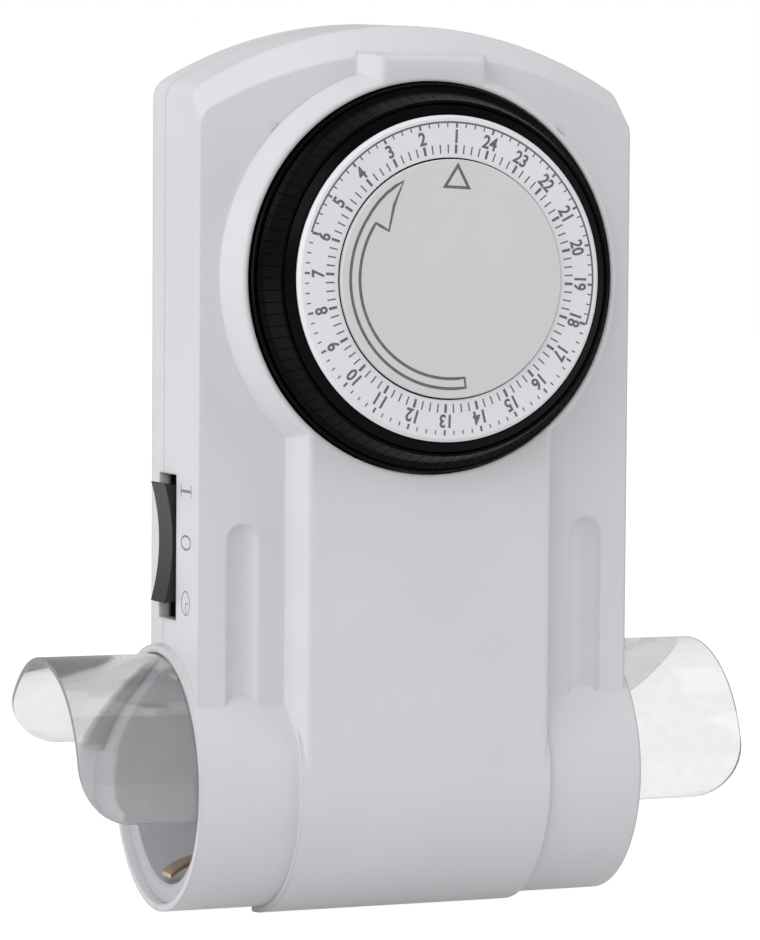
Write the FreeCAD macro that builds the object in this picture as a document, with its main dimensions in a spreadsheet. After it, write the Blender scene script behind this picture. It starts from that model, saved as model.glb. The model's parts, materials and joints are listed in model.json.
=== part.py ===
"""Plug-in mechanical timer switch with two side sockets under clear sliding hoods.

Frame: millimetres, +Z up, the front looks along -Y. The origin is the middle of the face of
the mains plug on the back, in the plane that the two pins stand out of. The dial turns about
the same axis, and the two sockets share the axis of the barrel at the foot.
"""
import FreeCAD, Part
import math
import os
import re

import Sketcher
from FreeCAD import Placement, Rotation, Vector

doc = FreeCAD.newDocument("timer_switch")

# Driving dimensions, in millimetres, degrees or counts
SIZES = {
    # upper housing, seen from the front, as margins round the collar
    "side_margin": 3.5,
    "crown_margin": 7.2,
    "crown_slope": 5.4,
    "wall": 2.2,
    "crown_rise": 1.3,
    "crown_radius": 80.0,
    "crease_radius": 85.0,
    "shoulder_radius": 4.5,
    "bevel_depth": 5.0,
    # layers from the plug face forward
    "plug_reach": 36.5,
    "rear_depth": 6.8,
    "front_depth": 19.6,
    "plateau_rise": 6.5,
    # raised plateau: collar round the dial, centre band, thumb tab
    "collar_rim": 1.4,
    "collar_slope": 1.9,
    "band_half_top": 24.4,
    "band_flare": 2.0,
    "tab_half_top": 10.6,
    "tab_flare": 2.2,
    "tab_fall": 5.8,
    "tab_slope": 0.6,
    "soft_edge": 1.1,
    # finger grooves in the flanks
    "groove_inset": 8.5,
    "groove_radius": 3.1,
    "groove_top": 44.9,
    "groove_depth": 1.6,
    # barrel for the two sockets
    "barrel_drop": 93.5,
    "barrel_overhang": 1.2,
    "barrel_radius": 24.9,
    "barrel_wall": 1.4,
    "belt_rise": 1.2,
    "belt_margin": 0.6,
    "passage_half": 13.0,
    # housing screws and their bosses
    "boss_radius": 3.6,
    "lower_boss_half": 15.4,
    "screw_radius": 1.5,
    "screw_head_radius": 2.8,
    "screw_head_height": 2.0,
    "screw_length": 14.0,
    "screw_clearance": 0.1,
    "head_play": 0.3,
    "cross_length": 2.6,
    "cross_width": 0.7,
    "cross_depth": 1.0,
    "upper_screw_margin": 1.5,
    "upper_screw_z": 25.0,
    "middle_screw_inset": 1.2,
    "middle_screw_z": 60.0,
    "lower_screw_drop": 18.0,
    # pedestal and plug
    "pedestal_taper": 1.5,
    "pedestal_height": 16.5,
    "plug_radius": 18.7,
    "plug_gap": 0.15,
    "plug_flange_reach": 2.3,
    "pedestal_wall": 3.0,
    "plug_flange_thick": 2.0,
    "plug_seat_thick": 4.0,
    "plug_wall": 2.4,
    "plug_face_thick": 5.0,
    "plug_pin_radius": 2.4,
    "plug_pin_spacing": 19.0,
    "plug_pin_length": 19.0,
    "plug_pin_root": 9.0,
    "plug_pin_shoulder": 0.5,
    "earth_recess_width": 8.0,
    "earth_recess_depth": 3.0,
    "earth_recess_length": 15.0,
    "earth_strip_width": 6.0,
    "earth_strip_thick": 1.0,
    "earth_strip_setback": 1.0,
    "guide_width": 5.4,
    "guide_depth": 2.6,
    "guide_length": 17.0,
    # dial: black body, printed ring, fixed disc
    "dial_radius": 35.7,
    "segment_ring_width": 4.1,
    "dial_gap": 0.4,
    "dial_plate_depth": 3.4,
    "dial_plate_thick": 2.0,
    "dial_rim_wall": 0.6,
    "dial_rim_rise": 1.0,
    "core_wall": 1.5,
    "number_ledge": 1.9,
    "number_thick": 1.0,
    "number_rise": 8.5,
    "number_bevel": 0.6,
    "shelf_thick": 1.2,
    "disc_radius": 21.7,
    "disc_gap": 0.3,
    "disc_step": 0.8,
    "disc_thick": 1.0,
    "hub_radius": 7.0,
    "hub_length": 4.2,
    "post_radius": 2.5,
    "post_clearance": 0.05,
    "post_shoulder": 5.0,
    # the switching segments round the dial
    "segment_count": 96,
    "segment_group": 12,
    "segment_gap_angle": 0.2,
    "segment_play": 0.3,
    "segment_rim_play": 0.2,
    "segment_toe": 1.1,
    "segment_crest": 0.5,
    "segment_leg_root": 0.5,
    "segment_leg_thick": 1.0,
    "segment_rise": 6.6,
    "segment_step_rise": 2.3,
    "segment_edge_rise": 1.8,
    "segment_depth": 1.4,
    "segment_leg_gap": 0.15,
    "segment_web": 0.2,
    "segment_travel": 1.8,
    # gear train
    "tooth_module": 0.5,
    "dial_teeth": 96,
    "dial_gear_hole": 21.4,
    "dial_gear_thick": 2.0,
    "pinion_teeth": 12,
    "wheel_teeth": 32,
    "mesh_clearance": 0.1,
    "wheel_thick": 1.2,
    "wheel_space": 1.0,
    "layer_gap": 0.2,
    "idler_angle": 36.0,
    "motor_angle": 173.0,
    "arbor_radius": 1.0,
    "arbor_collar_radius": 1.8,
    "arbor_collar_thick": 0.7,
    "shaft_radius": 0.8,
    "shaft_room": 1.0,
    "shaft_play": 0.05,
    "shaft_entry": 1.6,
    "motor_radius": 17.0,
    "motor_lug_reach": 4.5,
    "motor_length": 11.7,
    "motor_lug_thick": 1.2,
    "motor_lug_height": 7.0,
    "motor_edge": 1.0,
    # mechanism plate, its upper screws on a ring just outside the dial
    "plate_screw_angle": 43.76,
    "plate_screw_room": 0.72,
    "plate_screw_inset": 3.0,
    "plate_screw_fall": 3.3,
    "plate_foot_margin": 4.0,
    "plate_waist_margin": 5.0,
    "plate_thick": 1.4,
    "plate_shoulder": 30.0,
    "plate_screw_low_x": 20.0,
    "plate_screw_radius": 1.1,
    "plate_screw_length": 4.4,
    "plate_screw_head": 1.4,
    "plate_boss_radius": 2.5,
    # trip lever and microswitch
    "lever_x": 10.0,
    "lever_width": 4.0,
    "lever_pivot_z": 46.0,
    "lever_pivot_lead": 1.6,
    "plunger_lead": 5.0,
    "lever_pin_radius": 0.8,
    "pin_clearance": 0.05,
    "lever_boss_radius": 1.5,
    "lever_thick": 1.2,
    "lever_nose_height": 1.8,
    "lever_nose_overlap": 0.6,
    "lever_over_reach": 0.3,
    "lever_ear": 1.6,
    "lever_play": 0.2,
    "lever_slot_margin": 2.0,
    "plunger_radius": 1.0,
    "plunger_play": 0.1,
    "plunger_gap": 0.1,
    "plunger_well": 2.5,
    "plunger_free": 1.0,
    "micro_width": 12.0,
    "micro_height": 16.0,
    "micro_length": 5.6,
    "micro_share": 0.7,
    # rocker in the left wall
    "rocker_place": 50.0,
    "rocker_forward": 2.4,
    "rocker_half": 11.1,
    "rocker_end_play": 2.4,
    "rocker_side_play": 0.9,
    "rocker_lift": 0.8,
    "rocker_width": 7.6,
    "rocker_proud": 2.0,
    "rocker_dish": 1.6,
    "rocker_pivot_depth": 5.4,
    "rocker_keel": 3.0,
    "rocker_chin": 1.2,
    "rocker_skirt": 2.2,
    "rocker_draft": 0.8,
    "rocker_pin_radius": 1.1,
    "rocker_pin_length": 0.8,
    "rocker_body_depth": 14.0,
    "rocker_body_wall": 1.2,
    "rocker_body_floor": 4.0,
    "rocker_bearing_half": 3.0,
    "rocker_bearing_depth": 8.0,
    "rocker_bearing_setback": 0.2,
    "rocker_cheek_play": 0.15,
    # socket inserts
    "insert_setback": 1.5,
    "insert_play": 0.1,
    "insert_length": 10.1,
    "core_play": 0.3,
    "recess_depth": 17.5,
    "recess_edge": 0.5,
    "saddle_gap_angle": 4.0,
    "cup_wall": 1.9,
    "floor_thick": 2.5,
    "flange_thick": 2.0,
    "socket_pin_hole": 2.65,
    "socket_spacing": 19.0,
    "sleeve_outer": 3.2,
    "sleeve_inner": 2.45,
    "sleeve_slit": 1.0,
    "sleeve_slit_start": 4.0,
    "sleeve_base": 0.8,
    "sleeve_play": 0.1,
    "sleeve_tail": 3.5,
    # earth clips in the sockets
    "clip_width": 5.0,
    "clip_thick": 0.8,
    "clip_bend": 1.5,
    "clip_bow_share": 0.62,
    "clip_end_margin": 0.6,
    "clip_seat_play": 0.1,
    "clip_setback": 1.0,
    "clip_ring_width": 2.6,
    "clip_bow": 3.3,
    "clip_flare": 0.6,
    "clip_slot_play": 0.3,
    "clip_slot_rise": 0.6,
    "clip_ring_play": 0.2,
    # clear hoods
    "hood_play": 0.3,
    "hood_wall": 1.1,
    "hood_reach": 22.4,
    "hood_grip": 6.6,
    "hood_tilt": 12.5,
    "hood_half_angle": 90.5,
    "hood_corner": 10.5,
    # brass strips
    "strip_thick": 0.8,
    "strip_width": 5.0,
    "strip_back": 2.6,
    "strip_seat_play": 0.05,
    "strip_pad_half": 3.0,
    "strip_tab_drop": 1.0,
    "switched_lane": 1.4,
    "switched_step": 2.0,
    "switched_share": 0.6,
    "earth_lane": 0.8,
    "earth_bar_rise": 0.4,
    "earth_bar_front": 0.3,
    "earth_bar_back": 0.3,
    "link_overlap": 2.0,
    "link_lane": 2.6,
    "link_top": 6.5,
    "link_pitch": 9.0,
    "link_width": 3.0,
}

# Sizes that follow from the ones above, because these parts fit in, seat on or line up with others
FOLLOWING = {
    "collar_top_radius": "dial_radius + dial_gap + collar_rim",
    "collar_foot_radius": "collar_top_radius + collar_slope",
    "half_width": "collar_foot_radius + side_margin",
    "crown_height": "collar_foot_radius + crown_margin",
    "crease_height": "crown_height - crown_slope",
    "band_half_foot": "band_half_top + band_flare",
    "belt_half": "band_half_top + belt_margin",
    "middle_screw_x": "band_half_top - wall - middle_screw_inset",
    "tab_half_foot": "tab_half_top + tab_flare",
    "tab_height": "crown_height - tab_fall",
    "groove_place": "half_width - groove_inset",
    "barrel_half": "half_width + barrel_overhang",
    "upper_screw_x": "half_width - wall - boss_radius - upper_screw_margin",
    "plug_flange_radius": "plug_radius + plug_flange_reach",
    "pedestal_radius": "plug_flange_radius + pedestal_wall",
    "plug_pin_root_radius": "plug_pin_radius + plug_pin_shoulder",
    "core_radius": "dial_radius - segment_ring_width",
    "number_radius": "core_radius - number_ledge",
    "number_hole": "disc_radius + disc_gap",
    "disc_rise": "number_rise + disc_step",
    "segment_inner": "core_radius + segment_play",
    "segment_outer": "dial_radius - dial_rim_wall - segment_rim_play",
    "segment_leg_inner": "segment_inner + segment_toe",
    "segment_leg_outer": "segment_leg_inner + segment_leg_thick",
    "gear_room": "dial_gear_thick + layer_gap + wheel_thick + wheel_space",
    "plate_depth": "dial_plate_depth + dial_plate_thick + gear_room",
    "plate_screw_ring": "dial_radius + dial_gap + plate_boss_radius + plate_screw_room",
    "plate_screw_x": "plate_screw_ring * cos(plate_screw_angle)",
    "plate_screw_z": "plate_screw_ring * sin(plate_screw_angle)",
    "plate_half": "plate_screw_x + plate_screw_inset",
    "plate_top": "plate_screw_z + plate_screw_fall",
    "plate_waist": "plate_screw_low_x + plate_waist_margin",
    "plate_foot": "lever_pivot_z + plate_foot_margin",
    "plate_screw_low_z": "plate_foot - plate_foot_margin",
    "motor_lug_half": "motor_radius + motor_lug_reach",
    "lever_pivot_depth": "plate_depth - lever_pivot_lead",
    "plunger_z": "lever_pivot_z - plunger_lead",
    "rocker_slot_high": "2 * (rocker_half + rocker_end_play)",
    "rocker_slot_wide": "rocker_width + 2 * rocker_side_play",
    "bore_radius": "barrel_radius - barrel_wall",
    "flange_radius": "bore_radius - insert_play",
    "hood_outer": "bore_radius - hood_play",
    "recess_radius": "hood_outer - hood_wall - hood_play - cup_wall",
    "flange_place": "barrel_half - insert_setback - recess_depth - floor_thick - insert_length",
    "sleeve_end": "flange_place - sleeve_tail",
    "clip_root": "recess_radius - clip_setback",
    "clip_ring_inner": "clip_root - clip_ring_width",
    "clip_nip": "clip_root - clip_bow",
    "clip_tip": "clip_root - clip_flare",
    "core_block_radius": "clip_ring_inner - core_play",
}

sheet = doc.addObject("Spreadsheet::Sheet", "Sizes")
for row, alias in enumerate(list(SIZES) + list(FOLLOWING), start=1):
    sheet.set(f"A{row}", alias)
    sheet.setAlias(f"B{row}", alias)
    if alias in SIZES:
        sheet.set(f"B{row}", str(SIZES[alias]))
doc.recompute()
for row, (alias, text) in enumerate(FOLLOWING.items(), start=len(SIZES) + 1):
    sheet.set(f"B{row}", "=" + text)
doc.recompute()


def formula(text):
    """Turn plain names of sizes into references to the sheet."""
    def whole_name(match):
        word = match.group()
        return "Sizes." + word if word in SIZES or word in FOLLOWING else word

    return re.sub(r"[a-z_]{3,}", whole_name, text)


def size(text):
    """The number that a formula of sizes has now."""
    return float(sheet.evalExpression(formula(text)))


def bind(thing, **formulas):
    """Tie properties to the sheet; a double underscore stands for a dot."""
    for name, text in formulas.items():
        thing.setExpression(name.replace("__", "."), formula(text))
    return thing


TURNS = {
    "X": Rotation(Vector(0, 1, 0), 90),
    "Y": Rotation(Vector(1, 0, 0), -90),
    "Z": Rotation(),
}


def put(thing, place, turn=None):
    """Place a solid by three formulas."""
    thing.Placement = Placement(Vector(), turn or Rotation())
    for letter, text in zip("xyz", place):
        thing.setExpression(f"Placement.Base.{letter}", formula(text))
    return thing


def block(name, low, lengths):
    """A box from its low corner and its three lengths."""
    solid = doc.addObject("Part::Box", name)
    bind(solid, Length=lengths[0], Width=lengths[1], Height=lengths[2])
    return put(solid, low)


def rod(name, axis, start, radius, length):
    """A cylinder that runs from its start along plus X, Y or Z."""
    solid = doc.addObject("Part::Cylinder", name)
    bind(solid, Radius=radius, Height=length)
    return put(solid, start, TURNS[axis])


def cone(name, axis, start, radius_near, radius_far, length):
    """A cone frustum that runs from its start along plus X, Y or Z."""
    solid = doc.addObject("Part::Cone", name)
    bind(solid, Radius1=radius_near, Radius2=radius_far, Height=length)
    return put(solid, start, TURNS[axis])


def fuse(name, *solids):
    joined = doc.addObject("Part::MultiFuse", name)
    joined.Shapes = list(solids)
    joined.Refine = True
    return joined


def cut(name, base, *tools):
    tool = tools[0] if len(tools) == 1 else fuse(name + "_tools", *tools)
    result = doc.addObject("Part::Cut", name)
    result.Base = base
    result.Tool = tool
    result.Refine = True
    return result


def common(name, first, second):
    result = doc.addObject("Part::Common", name)
    result.Base = first
    result.Tool = second
    result.Refine = True
    return result


def turned(name, axis, centre, points):
    """A body turned about the Y or X axis from a closed outline of (along, radius) formulas.

    For axis Y the points are (radius, y); for axis X they are (x, radius).
    """
    body = doc.addObject("PartDesign::Body", name)
    sketch = body.newObject("Sketcher::SketchObject", name + "_outline")
    plane = [feature for feature in body.Origin.OriginFeatures if feature.Role == "XY_Plane"][0]
    sketch.AttachmentSupport = (plane, "")
    sketch.MapMode = "FlatFace"
    spots = [Vector(size(first), size(second), 0) for first, second in points]
    count = len(spots)
    for index in range(count):
        sketch.addGeometry(Part.LineSegment(spots[index], spots[(index + 1) % count]), False)
    for index in range(count):
        sketch.addConstraint(Sketcher.Constraint("Coincident", index, 2, (index + 1) % count, 1))
    for index, (first, second) in enumerate(points):
        spot_now = spots[index]
        for kind, text, spot in (("DistanceX", first, spot_now.x), ("DistanceY", second, spot_now.y)):
            number = sketch.addConstraint(Sketcher.Constraint(kind, -1, 1, index, 1, spot))
            sketch.setExpression(f"Constraints[{number}]", formula(text))
    turn = body.newObject("PartDesign::Revolution", name + "_turn")
    turn.Profile = sketch
    turn.ReferenceAxis = (sketch, ["V_Axis" if axis == "Y" else "H_Axis"])
    turn.Angle = 360.0
    sketch.Visibility = False
    return put(body, centre)


def feature(name, shape):
    """A solid that is worked out from the sheet by code."""
    solid = doc.addObject("Part::Feature", name)
    solid.Shape = shape
    return solid


def ring_of(name, solids):
    """Several equal solids kept as one group."""
    return feature(name, Part.makeCompound(solids))


# Planes across the depth, front to back
BACK = "(-plug_reach)"
SPLIT = "(-plug_reach - rear_depth)"
FLANK = "(-plug_reach - rear_depth - front_depth)"
PLATEAU = "(-plug_reach - rear_depth - front_depth - plateau_rise)"
BARREL_Z = "(-barrel_drop)"
PEDESTAL = "(-plug_reach + pedestal_height)"
SCREW_SEAT = f"({BACK} - wall)"
SCREW_TIP = f"({SCREW_SEAT} - screw_length)"
PLATE = f"({PLATEAU} + plate_depth)"
PLATE_BACK = f"({PLATE} + plate_thick)"
DIAL_PLATE = f"({PLATEAU} + dial_plate_depth)"
DIAL_BACK = f"({DIAL_PLATE} + dial_plate_thick)"
GEAR_BACK = f"({DIAL_BACK} + dial_gear_thick)"
FLOOR_X = "(barrel_half - insert_setback - recess_depth)"
FLOOR_BACK_X = f"({FLOOR_X} - floor_thick)"

SIDES = (("left", -1), ("right", 1))
EDGE_FACETS = 3

SCREW_PLACES = [
    ("upper_left", "-upper_screw_x", "upper_screw_z"),
    ("upper_right", "upper_screw_x", "upper_screw_z"),
    ("middle_left", "-middle_screw_x", "-middle_screw_z"),
    ("middle_right", "middle_screw_x", "-middle_screw_z"),
    ("lower", "0", "-barrel_drop - lower_screw_drop"),
]
PLATE_SCREW_PLACES = [
    ("upper_left", "-plate_screw_x", "plate_screw_z"),
    ("upper_right", "plate_screw_x", "plate_screw_z"),
    ("lower_left", "-plate_screw_low_x", "-plate_screw_low_z"),
    ("lower_right", "plate_screw_low_x", "-plate_screw_low_z"),
]


def housing_section(y, apex, crown_radius, inset):
    """Outline of the upper housing at one depth: straight sides, round shoulders, arched top."""
    half = size("half_width") - inset
    radius = crown_radius - inset
    corner = max(size("shoulder_radius") - inset, 0.8)
    top = apex - inset
    middle = top - radius
    rise = math.sqrt((radius - corner) ** 2 - (half - corner) ** 2)
    shoulder = middle + rise
    reach = radius / (radius - corner)
    join_x = (half - corner) * reach
    join_z = middle + rise * reach
    lean = math.atan2(rise, half - corner) / 2
    knee_x = half - corner + corner * math.cos(lean)
    knee_z = shoulder + corner * math.sin(lean)
    foot = -size("barrel_drop")

    def at(x, z):
        return Vector(x, y, z)

    edges = [
        Part.LineSegment(at(-half, foot), at(-half, shoulder)),
        Part.Arc(at(-half, shoulder), at(-knee_x, knee_z), at(-join_x, join_z)),
        Part.Arc(at(-join_x, join_z), at(0, top), at(join_x, join_z)),
        Part.Arc(at(join_x, join_z), at(knee_x, knee_z), at(half, shoulder)),
        Part.LineSegment(at(half, shoulder), at(half, foot)),
        Part.LineSegment(at(half, foot), at(-half, foot)),
    ]
    return Part.Wire([edge.toShape() for edge in edges])


def housing_form(name, inset):
    """The upper housing as a ruled loft: bevelled brow, then a crown that rises to the back."""
    flank, split, back = size(FLANK) + inset, size(SPLIT), size(BACK) - inset
    brow = size(FLANK) + size("bevel_depth") + inset / 2
    rise = size("crown_rise") / (size(BACK) - brow)
    crown = size("crown_height")
    sections = [
        housing_section(flank, size("crease_height"), size("crease_radius"), inset),
        housing_section(brow, crown, size("crown_radius"), inset),
        housing_section(split, crown + rise * (split - brow), size("crown_radius"), inset),
        housing_section(back, crown + rise * (back - brow), size("crown_radius"), inset),
    ]
    return feature(name, Part.makeLoft(sections, True, True))


def edge_steps():
    """The plateau's rounded edge: how far in and how deep each small facet starts."""
    radius = size("soft_edge")
    steps = []
    for number in range(EDGE_FACETS + 1):
        angle = math.pi / 2 * number / EDGE_FACETS
        steps.append((radius * (1 - math.sin(angle)), radius * (1 - math.cos(angle))))
    return steps


def wedge(name, half_top, half_foot, high_top, high_foot, low):
    """A raised pad of the plateau with a rounded edge and sloping sides down to the flank plane."""
    front, back = size(PLATEAU), size(FLANK)
    levels = [(front + deep, half_top - inward, high_top - inward) for inward, deep in edge_steps()]
    levels.append((back, half_foot, high_foot))
    sections = []
    for y, half, high in levels:
        places = ((-half, low), (half, low), (half, high), (-half, high))
        corners = [Vector(x, y, z) for x, z in places]
        sections.append(Part.makePolygon(corners + corners[:1]))
    return feature(name, Part.makeLoft(sections, True, True))


def collar_ring():
    """The collar round the dial, turned from a rounded rim and a sloping flank."""
    front, back = size(PLATEAU), size(FLANK)
    spots = [(size("collar_top_radius") - inward, front + deep) for inward, deep in edge_steps()]
    spots += [(size("collar_foot_radius"), back), (0.0, back), (0.0, front)]
    corners = [Vector(radius, y, 0) for radius, y in spots]
    face = Part.Face(Part.makePolygon(corners + corners[:1]))
    return feature("collar", face.revolve(Vector(), Vector(0, 1, 0), 360))


def housing_outside():
    """Everything that the two shells enclose, as one solid, with the plateau's soft edge."""
    upper = housing_form("upper_form", 0.0)
    collar = collar_ring()
    band = wedge("band", size("band_half_top"), size("band_half_foot"), 0.0, 0.0, size(BARREL_Z))
    tab = wedge("tab", size("tab_half_top"), size("tab_half_foot"),
                size("tab_height"), size("tab_height + tab_slope"), 0.0)
    barrel = rod("barrel", "X", ("-barrel_half", SPLIT, BARREL_Z), "barrel_radius", "2 * barrel_half")
    front_half = block("belt_front", ("-belt_half", f"{SPLIT} - 2 * barrel_radius", "-2 * barrel_drop"),
                       ("2 * belt_half", "2 * barrel_radius", "2 * barrel_drop"))
    belt_round = rod("belt_round", "X", ("-belt_half", SPLIT, BARREL_Z),
                     "barrel_radius + belt_rise", "2 * belt_half")
    belt = common("belt", belt_round, front_half)
    pedestal = cone("pedestal", "Y", ("0", f"{BACK} - wall", "0"), "pedestal_radius",
                    "pedestal_radius - pedestal_taper", "pedestal_height + wall")
    return fuse("housing_outside", upper, collar, band, tab, barrel, belt, pedestal)


def housing_room():
    """The room inside both shells: upper case, band, barrel bore and the way between them."""
    upper = housing_form("upper_room", size("wall"))
    barrel = rod("barrel_skin", "X", ("-barrel_half", SPLIT, BARREL_Z),
                 "barrel_radius", "2 * barrel_half")
    pads = [
        block(f"groove_pad_{side}",
              (f"{sign} * groove_place - groove_radius - wall", FLANK, "-barrel_drop"),
              ("2 * (groove_radius + wall)", "groove_depth + wall",
               "barrel_drop - groove_top + wall"))
        for side, sign in SIDES
    ]
    upper_clear = cut("upper_room_clear", upper, barrel, *pads)
    band = block("band_room",
                 ("-band_half_top + wall", f"{PLATEAU} + wall", "-barrel_drop + barrel_radius"),
                 ("2 * (band_half_top - wall)", "plateau_rise + wall", "barrel_drop - barrel_radius"))
    bore = rod("barrel_bore", "X", ("-barrel_half - 1", SPLIT, BARREL_Z),
               "barrel_radius - barrel_wall", "2 * barrel_half + 2")
    passage = block("passage", ("-passage_half", f"{FLANK} + wall", BARREL_Z),
                    ("2 * passage_half", "front_depth + rear_depth - 2 * wall", "barrel_radius + wall"))
    dial_hole = rod("dial_hole", "Y", ("0", f"{PLATEAU} - 1", "0"), "dial_radius + dial_gap",
                    "plateau_rise + wall + 1.5")
    room = fuse("room", upper_clear, band, bore, passage, dial_hole)
    bosses = [
        rod(f"boss_{label}", "Y", (x, f"{FLANK} + wall / 2", z), "boss_radius",
            "front_depth + rear_depth - wall")
        for label, x, z in SCREW_PLACES[:4]
    ]
    bosses.append(rod("boss_lower", "Y", ("0", f"{SPLIT} - lower_boss_half", SCREW_PLACES[4][2]),
                      "boss_radius", "2 * lower_boss_half"))
    bosses += [
        rod(f"plate_boss_{label}", "Y", (x, f"{PLATEAU} + wall / 2", z), "plate_boss_radius",
            "plate_depth - wall / 2")
        for label, x, z in PLATE_SCREW_PLACES
    ]
    return cut("room_with_bosses", room, *bosses)


def screw_ways(name, radius, length_text):
    """Holes for the five long screws, from the screw tips towards the back."""
    return [
        rod(f"{name}_{label}", "Y", (x, SCREW_TIP, z), radius, length_text)
        for label, x, z in SCREW_PLACES
    ]


def grooves():
    """The round-topped finger grooves in the two flanks, each a long hollow with a round floor."""
    half, deep = size("groove_radius"), size("groove_depth")
    curve = (half * half + deep * deep) / (2 * deep)
    y = size(FLANK) - curve + deep
    low, high = -size("barrel_drop"), -size("groove_top") - half
    tools = []
    for side, sign in SIDES:
        foot = Vector(sign * size("groove_place"), y, low)
        run = Part.makeCylinder(curve, high - low, foot)
        run = run.fuse(Part.makeSphere(curve, foot + Vector(0, 0, high - low)))
        barrel = rod(f"groove_barrel_{side}", "X", ("-barrel_half", SPLIT, BARREL_Z),
                     "barrel_radius", "2 * barrel_half")
        tools.append(cut(f"groove_{side}", feature(f"groove_run_{side}", run), barrel))
    return tools


def shells():
    """The front and the rear shell, which meet on the plane through the barrel's axis."""
    outside = housing_outside()
    room = housing_room()
    slot = block("rocker_opening",
                 ("-half_width - 1", f"{SPLIT} - rocker_forward - rocker_slot_wide / 2",
                  "-rocker_place - rocker_slot_high / 2"),
                 ("wall + 2", "rocker_slot_wide", "rocker_slot_high"))
    plug_hole = rod("plug_hole", "Y", ("0", f"{BACK} - wall - 1", "0"), "plug_radius + plug_gap",
                    "pedestal_height + wall + 2")
    plug_room = rod("plug_room", "Y", ("0", f"{BACK} - wall - 1", "0"), "plug_flange_radius + plug_gap",
                    "pedestal_height + wall + 1 - plug_seat_thick")
    whole = cut("housing_hollow", outside, room, slot, plug_hole, plug_room, *grooves())
    front_space = block("front_space", ("-2 * half_width", "-4 * plug_reach", "-2 * barrel_drop"),
                        ("4 * half_width", "3 * plug_reach - rear_depth", "4 * barrel_drop"))
    front = common("front_half", whole, front_space)
    rear = cut("rear_half", whole, front_space)
    plate_pilots = [
        rod(f"plate_pilot_{label}", "Y", (x, f"{PLATE_BACK} - plate_screw_length", z),
            "plate_screw_radius", "plate_screw_length")
        for label, x, z in PLATE_SCREW_PLACES
    ]
    pilots = screw_ways("pilot", "screw_radius - screw_clearance", "screw_length")
    front_shell = cut("front_shell", front, *pilots, *plate_pilots)
    pockets = [
        rod(f"screw_pocket_{label}", "Y", (x, SCREW_SEAT, z), "screw_head_radius + head_play",
            "2 * barrel_radius")
        for label, x, z in SCREW_PLACES
    ]
    ways = screw_ways("clear_way", "screw_radius + screw_clearance", "2 * barrel_radius")
    rear_shell = cut("rear_shell", rear, *ways, *pockets)
    return front_shell, rear_shell


def housing_screws():
    """Five equal self-tapping screws, head against the rear shell's floor."""
    radius, length = size("screw_radius - screw_clearance"), size("screw_length")
    high = size("screw_head_height")
    long, thin, deep = size("cross_length"), size("cross_width"), size("cross_depth")
    solids = []
    for _, x, z in SCREW_PLACES:
        seat = Vector(size(x), size(SCREW_SEAT), size(z))
        shank = Part.makeCylinder(radius, length, seat, Vector(0, -1, 0))
        screw = shank.fuse(Part.makeCylinder(size("screw_head_radius"), high, seat, Vector(0, 1, 0)))
        for wide, tall in ((long, thin), (thin, long)):
            corner = seat + Vector(-wide / 2, high - deep, -tall / 2)
            screw = screw.cut(Part.makeBox(wide, deep, tall, corner))
        solids.append(screw)
    return ring_of("housing_screws", solids)


def plug_parts():
    """The round plug body on its pedestal, its two pins and its two earth strips."""
    rear = f"({PEDESTAL} - plug_seat_thick)"
    shaft = rod("plug_shaft", "Y", ("0", rear, "0"), "plug_radius", f"-{rear}")
    flange = rod("plug_flange", "Y", ("0", f"{rear} - plug_flange_thick", "0"),
                 "plug_flange_radius", "plug_flange_thick")
    hollow = rod("plug_hollow", "Y", ("0", f"{rear} - plug_flange_thick - 1", "0"),
                 "plug_radius - plug_wall",
                 f"-{rear} + plug_flange_thick + 1 - plug_face_thick - plug_pin_root")
    pin_holes = [
        rod(f"plug_pin_hole_{side}", "Y", (f"{sign} * plug_pin_spacing / 2", rear, "0"),
            "plug_pin_root_radius", f"1 - {rear}")
        for side, sign in SIDES
    ]
    guides = [
        block(f"plug_guide_{side}", (low, "-guide_length", "-guide_width / 2"),
              ("guide_depth + 1", "guide_length + 1", "guide_width"))
        for side, low in (("left", "-plug_radius - 1"), ("right", "plug_radius - guide_depth"))
    ]
    lows = (("lower", "-plug_radius - 1"), ("upper", "plug_radius - earth_recess_depth"))
    recesses = [
        block(f"earth_recess_{level}", ("-earth_recess_width / 2", "-earth_recess_length", low),
              ("earth_recess_width", "earth_recess_length + 1", "earth_recess_depth + 1"))
        for level, low in lows
    ]
    body = cut("plug_body", fuse("plug_solid", shaft, flange), hollow, *pin_holes, *guides, *recesses)

    radius, length = size("plug_pin_radius"), size("plug_pin_length")
    root, thick_root = size("plug_face_thick + plug_pin_root"), size("plug_pin_root_radius")
    shoulder = length - radius
    bow = radius * math.sqrt(0.5)
    profile = [(0, -root), (thick_root, -root), (thick_root, 0), (radius, 0), (radius, shoulder)]
    corners = [Vector(across, along, 0) for across, along in profile]
    end = Vector(0, length, 0)
    edges = [Part.makeLine(corners[k], corners[k + 1]) for k in range(len(corners) - 1)]
    edges.append(Part.Arc(corners[-1], Vector(bow, shoulder + bow, 0), end).toShape())
    edges.append(Part.makeLine(end, corners[0]))
    pin = Part.Face(Part.Wire(edges)).revolve(Vector(), Vector(0, 1, 0), 360)
    pins = []
    for _, sign in SIDES:
        copy = pin.copy()
        copy.translate(Vector(sign * size("plug_pin_spacing") / 2, 0, 0))
        pins.append(copy)
    plug_pins = ring_of("plug_pins", pins)

    strips = []
    wide, thick = size("earth_strip_width"), size("earth_strip_thick")
    deep = size("plug_face_thick + plug_pin_root")
    seat = size("plug_radius - earth_recess_depth")
    for low in (seat, -seat - thick):
        strips.append(Part.makeBox(wide, deep - size("earth_strip_setback"), thick,
                                   Vector(-wide / 2, -deep, low)))
    return body, plug_pins, ring_of("plug_earth_strips", strips)


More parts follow.
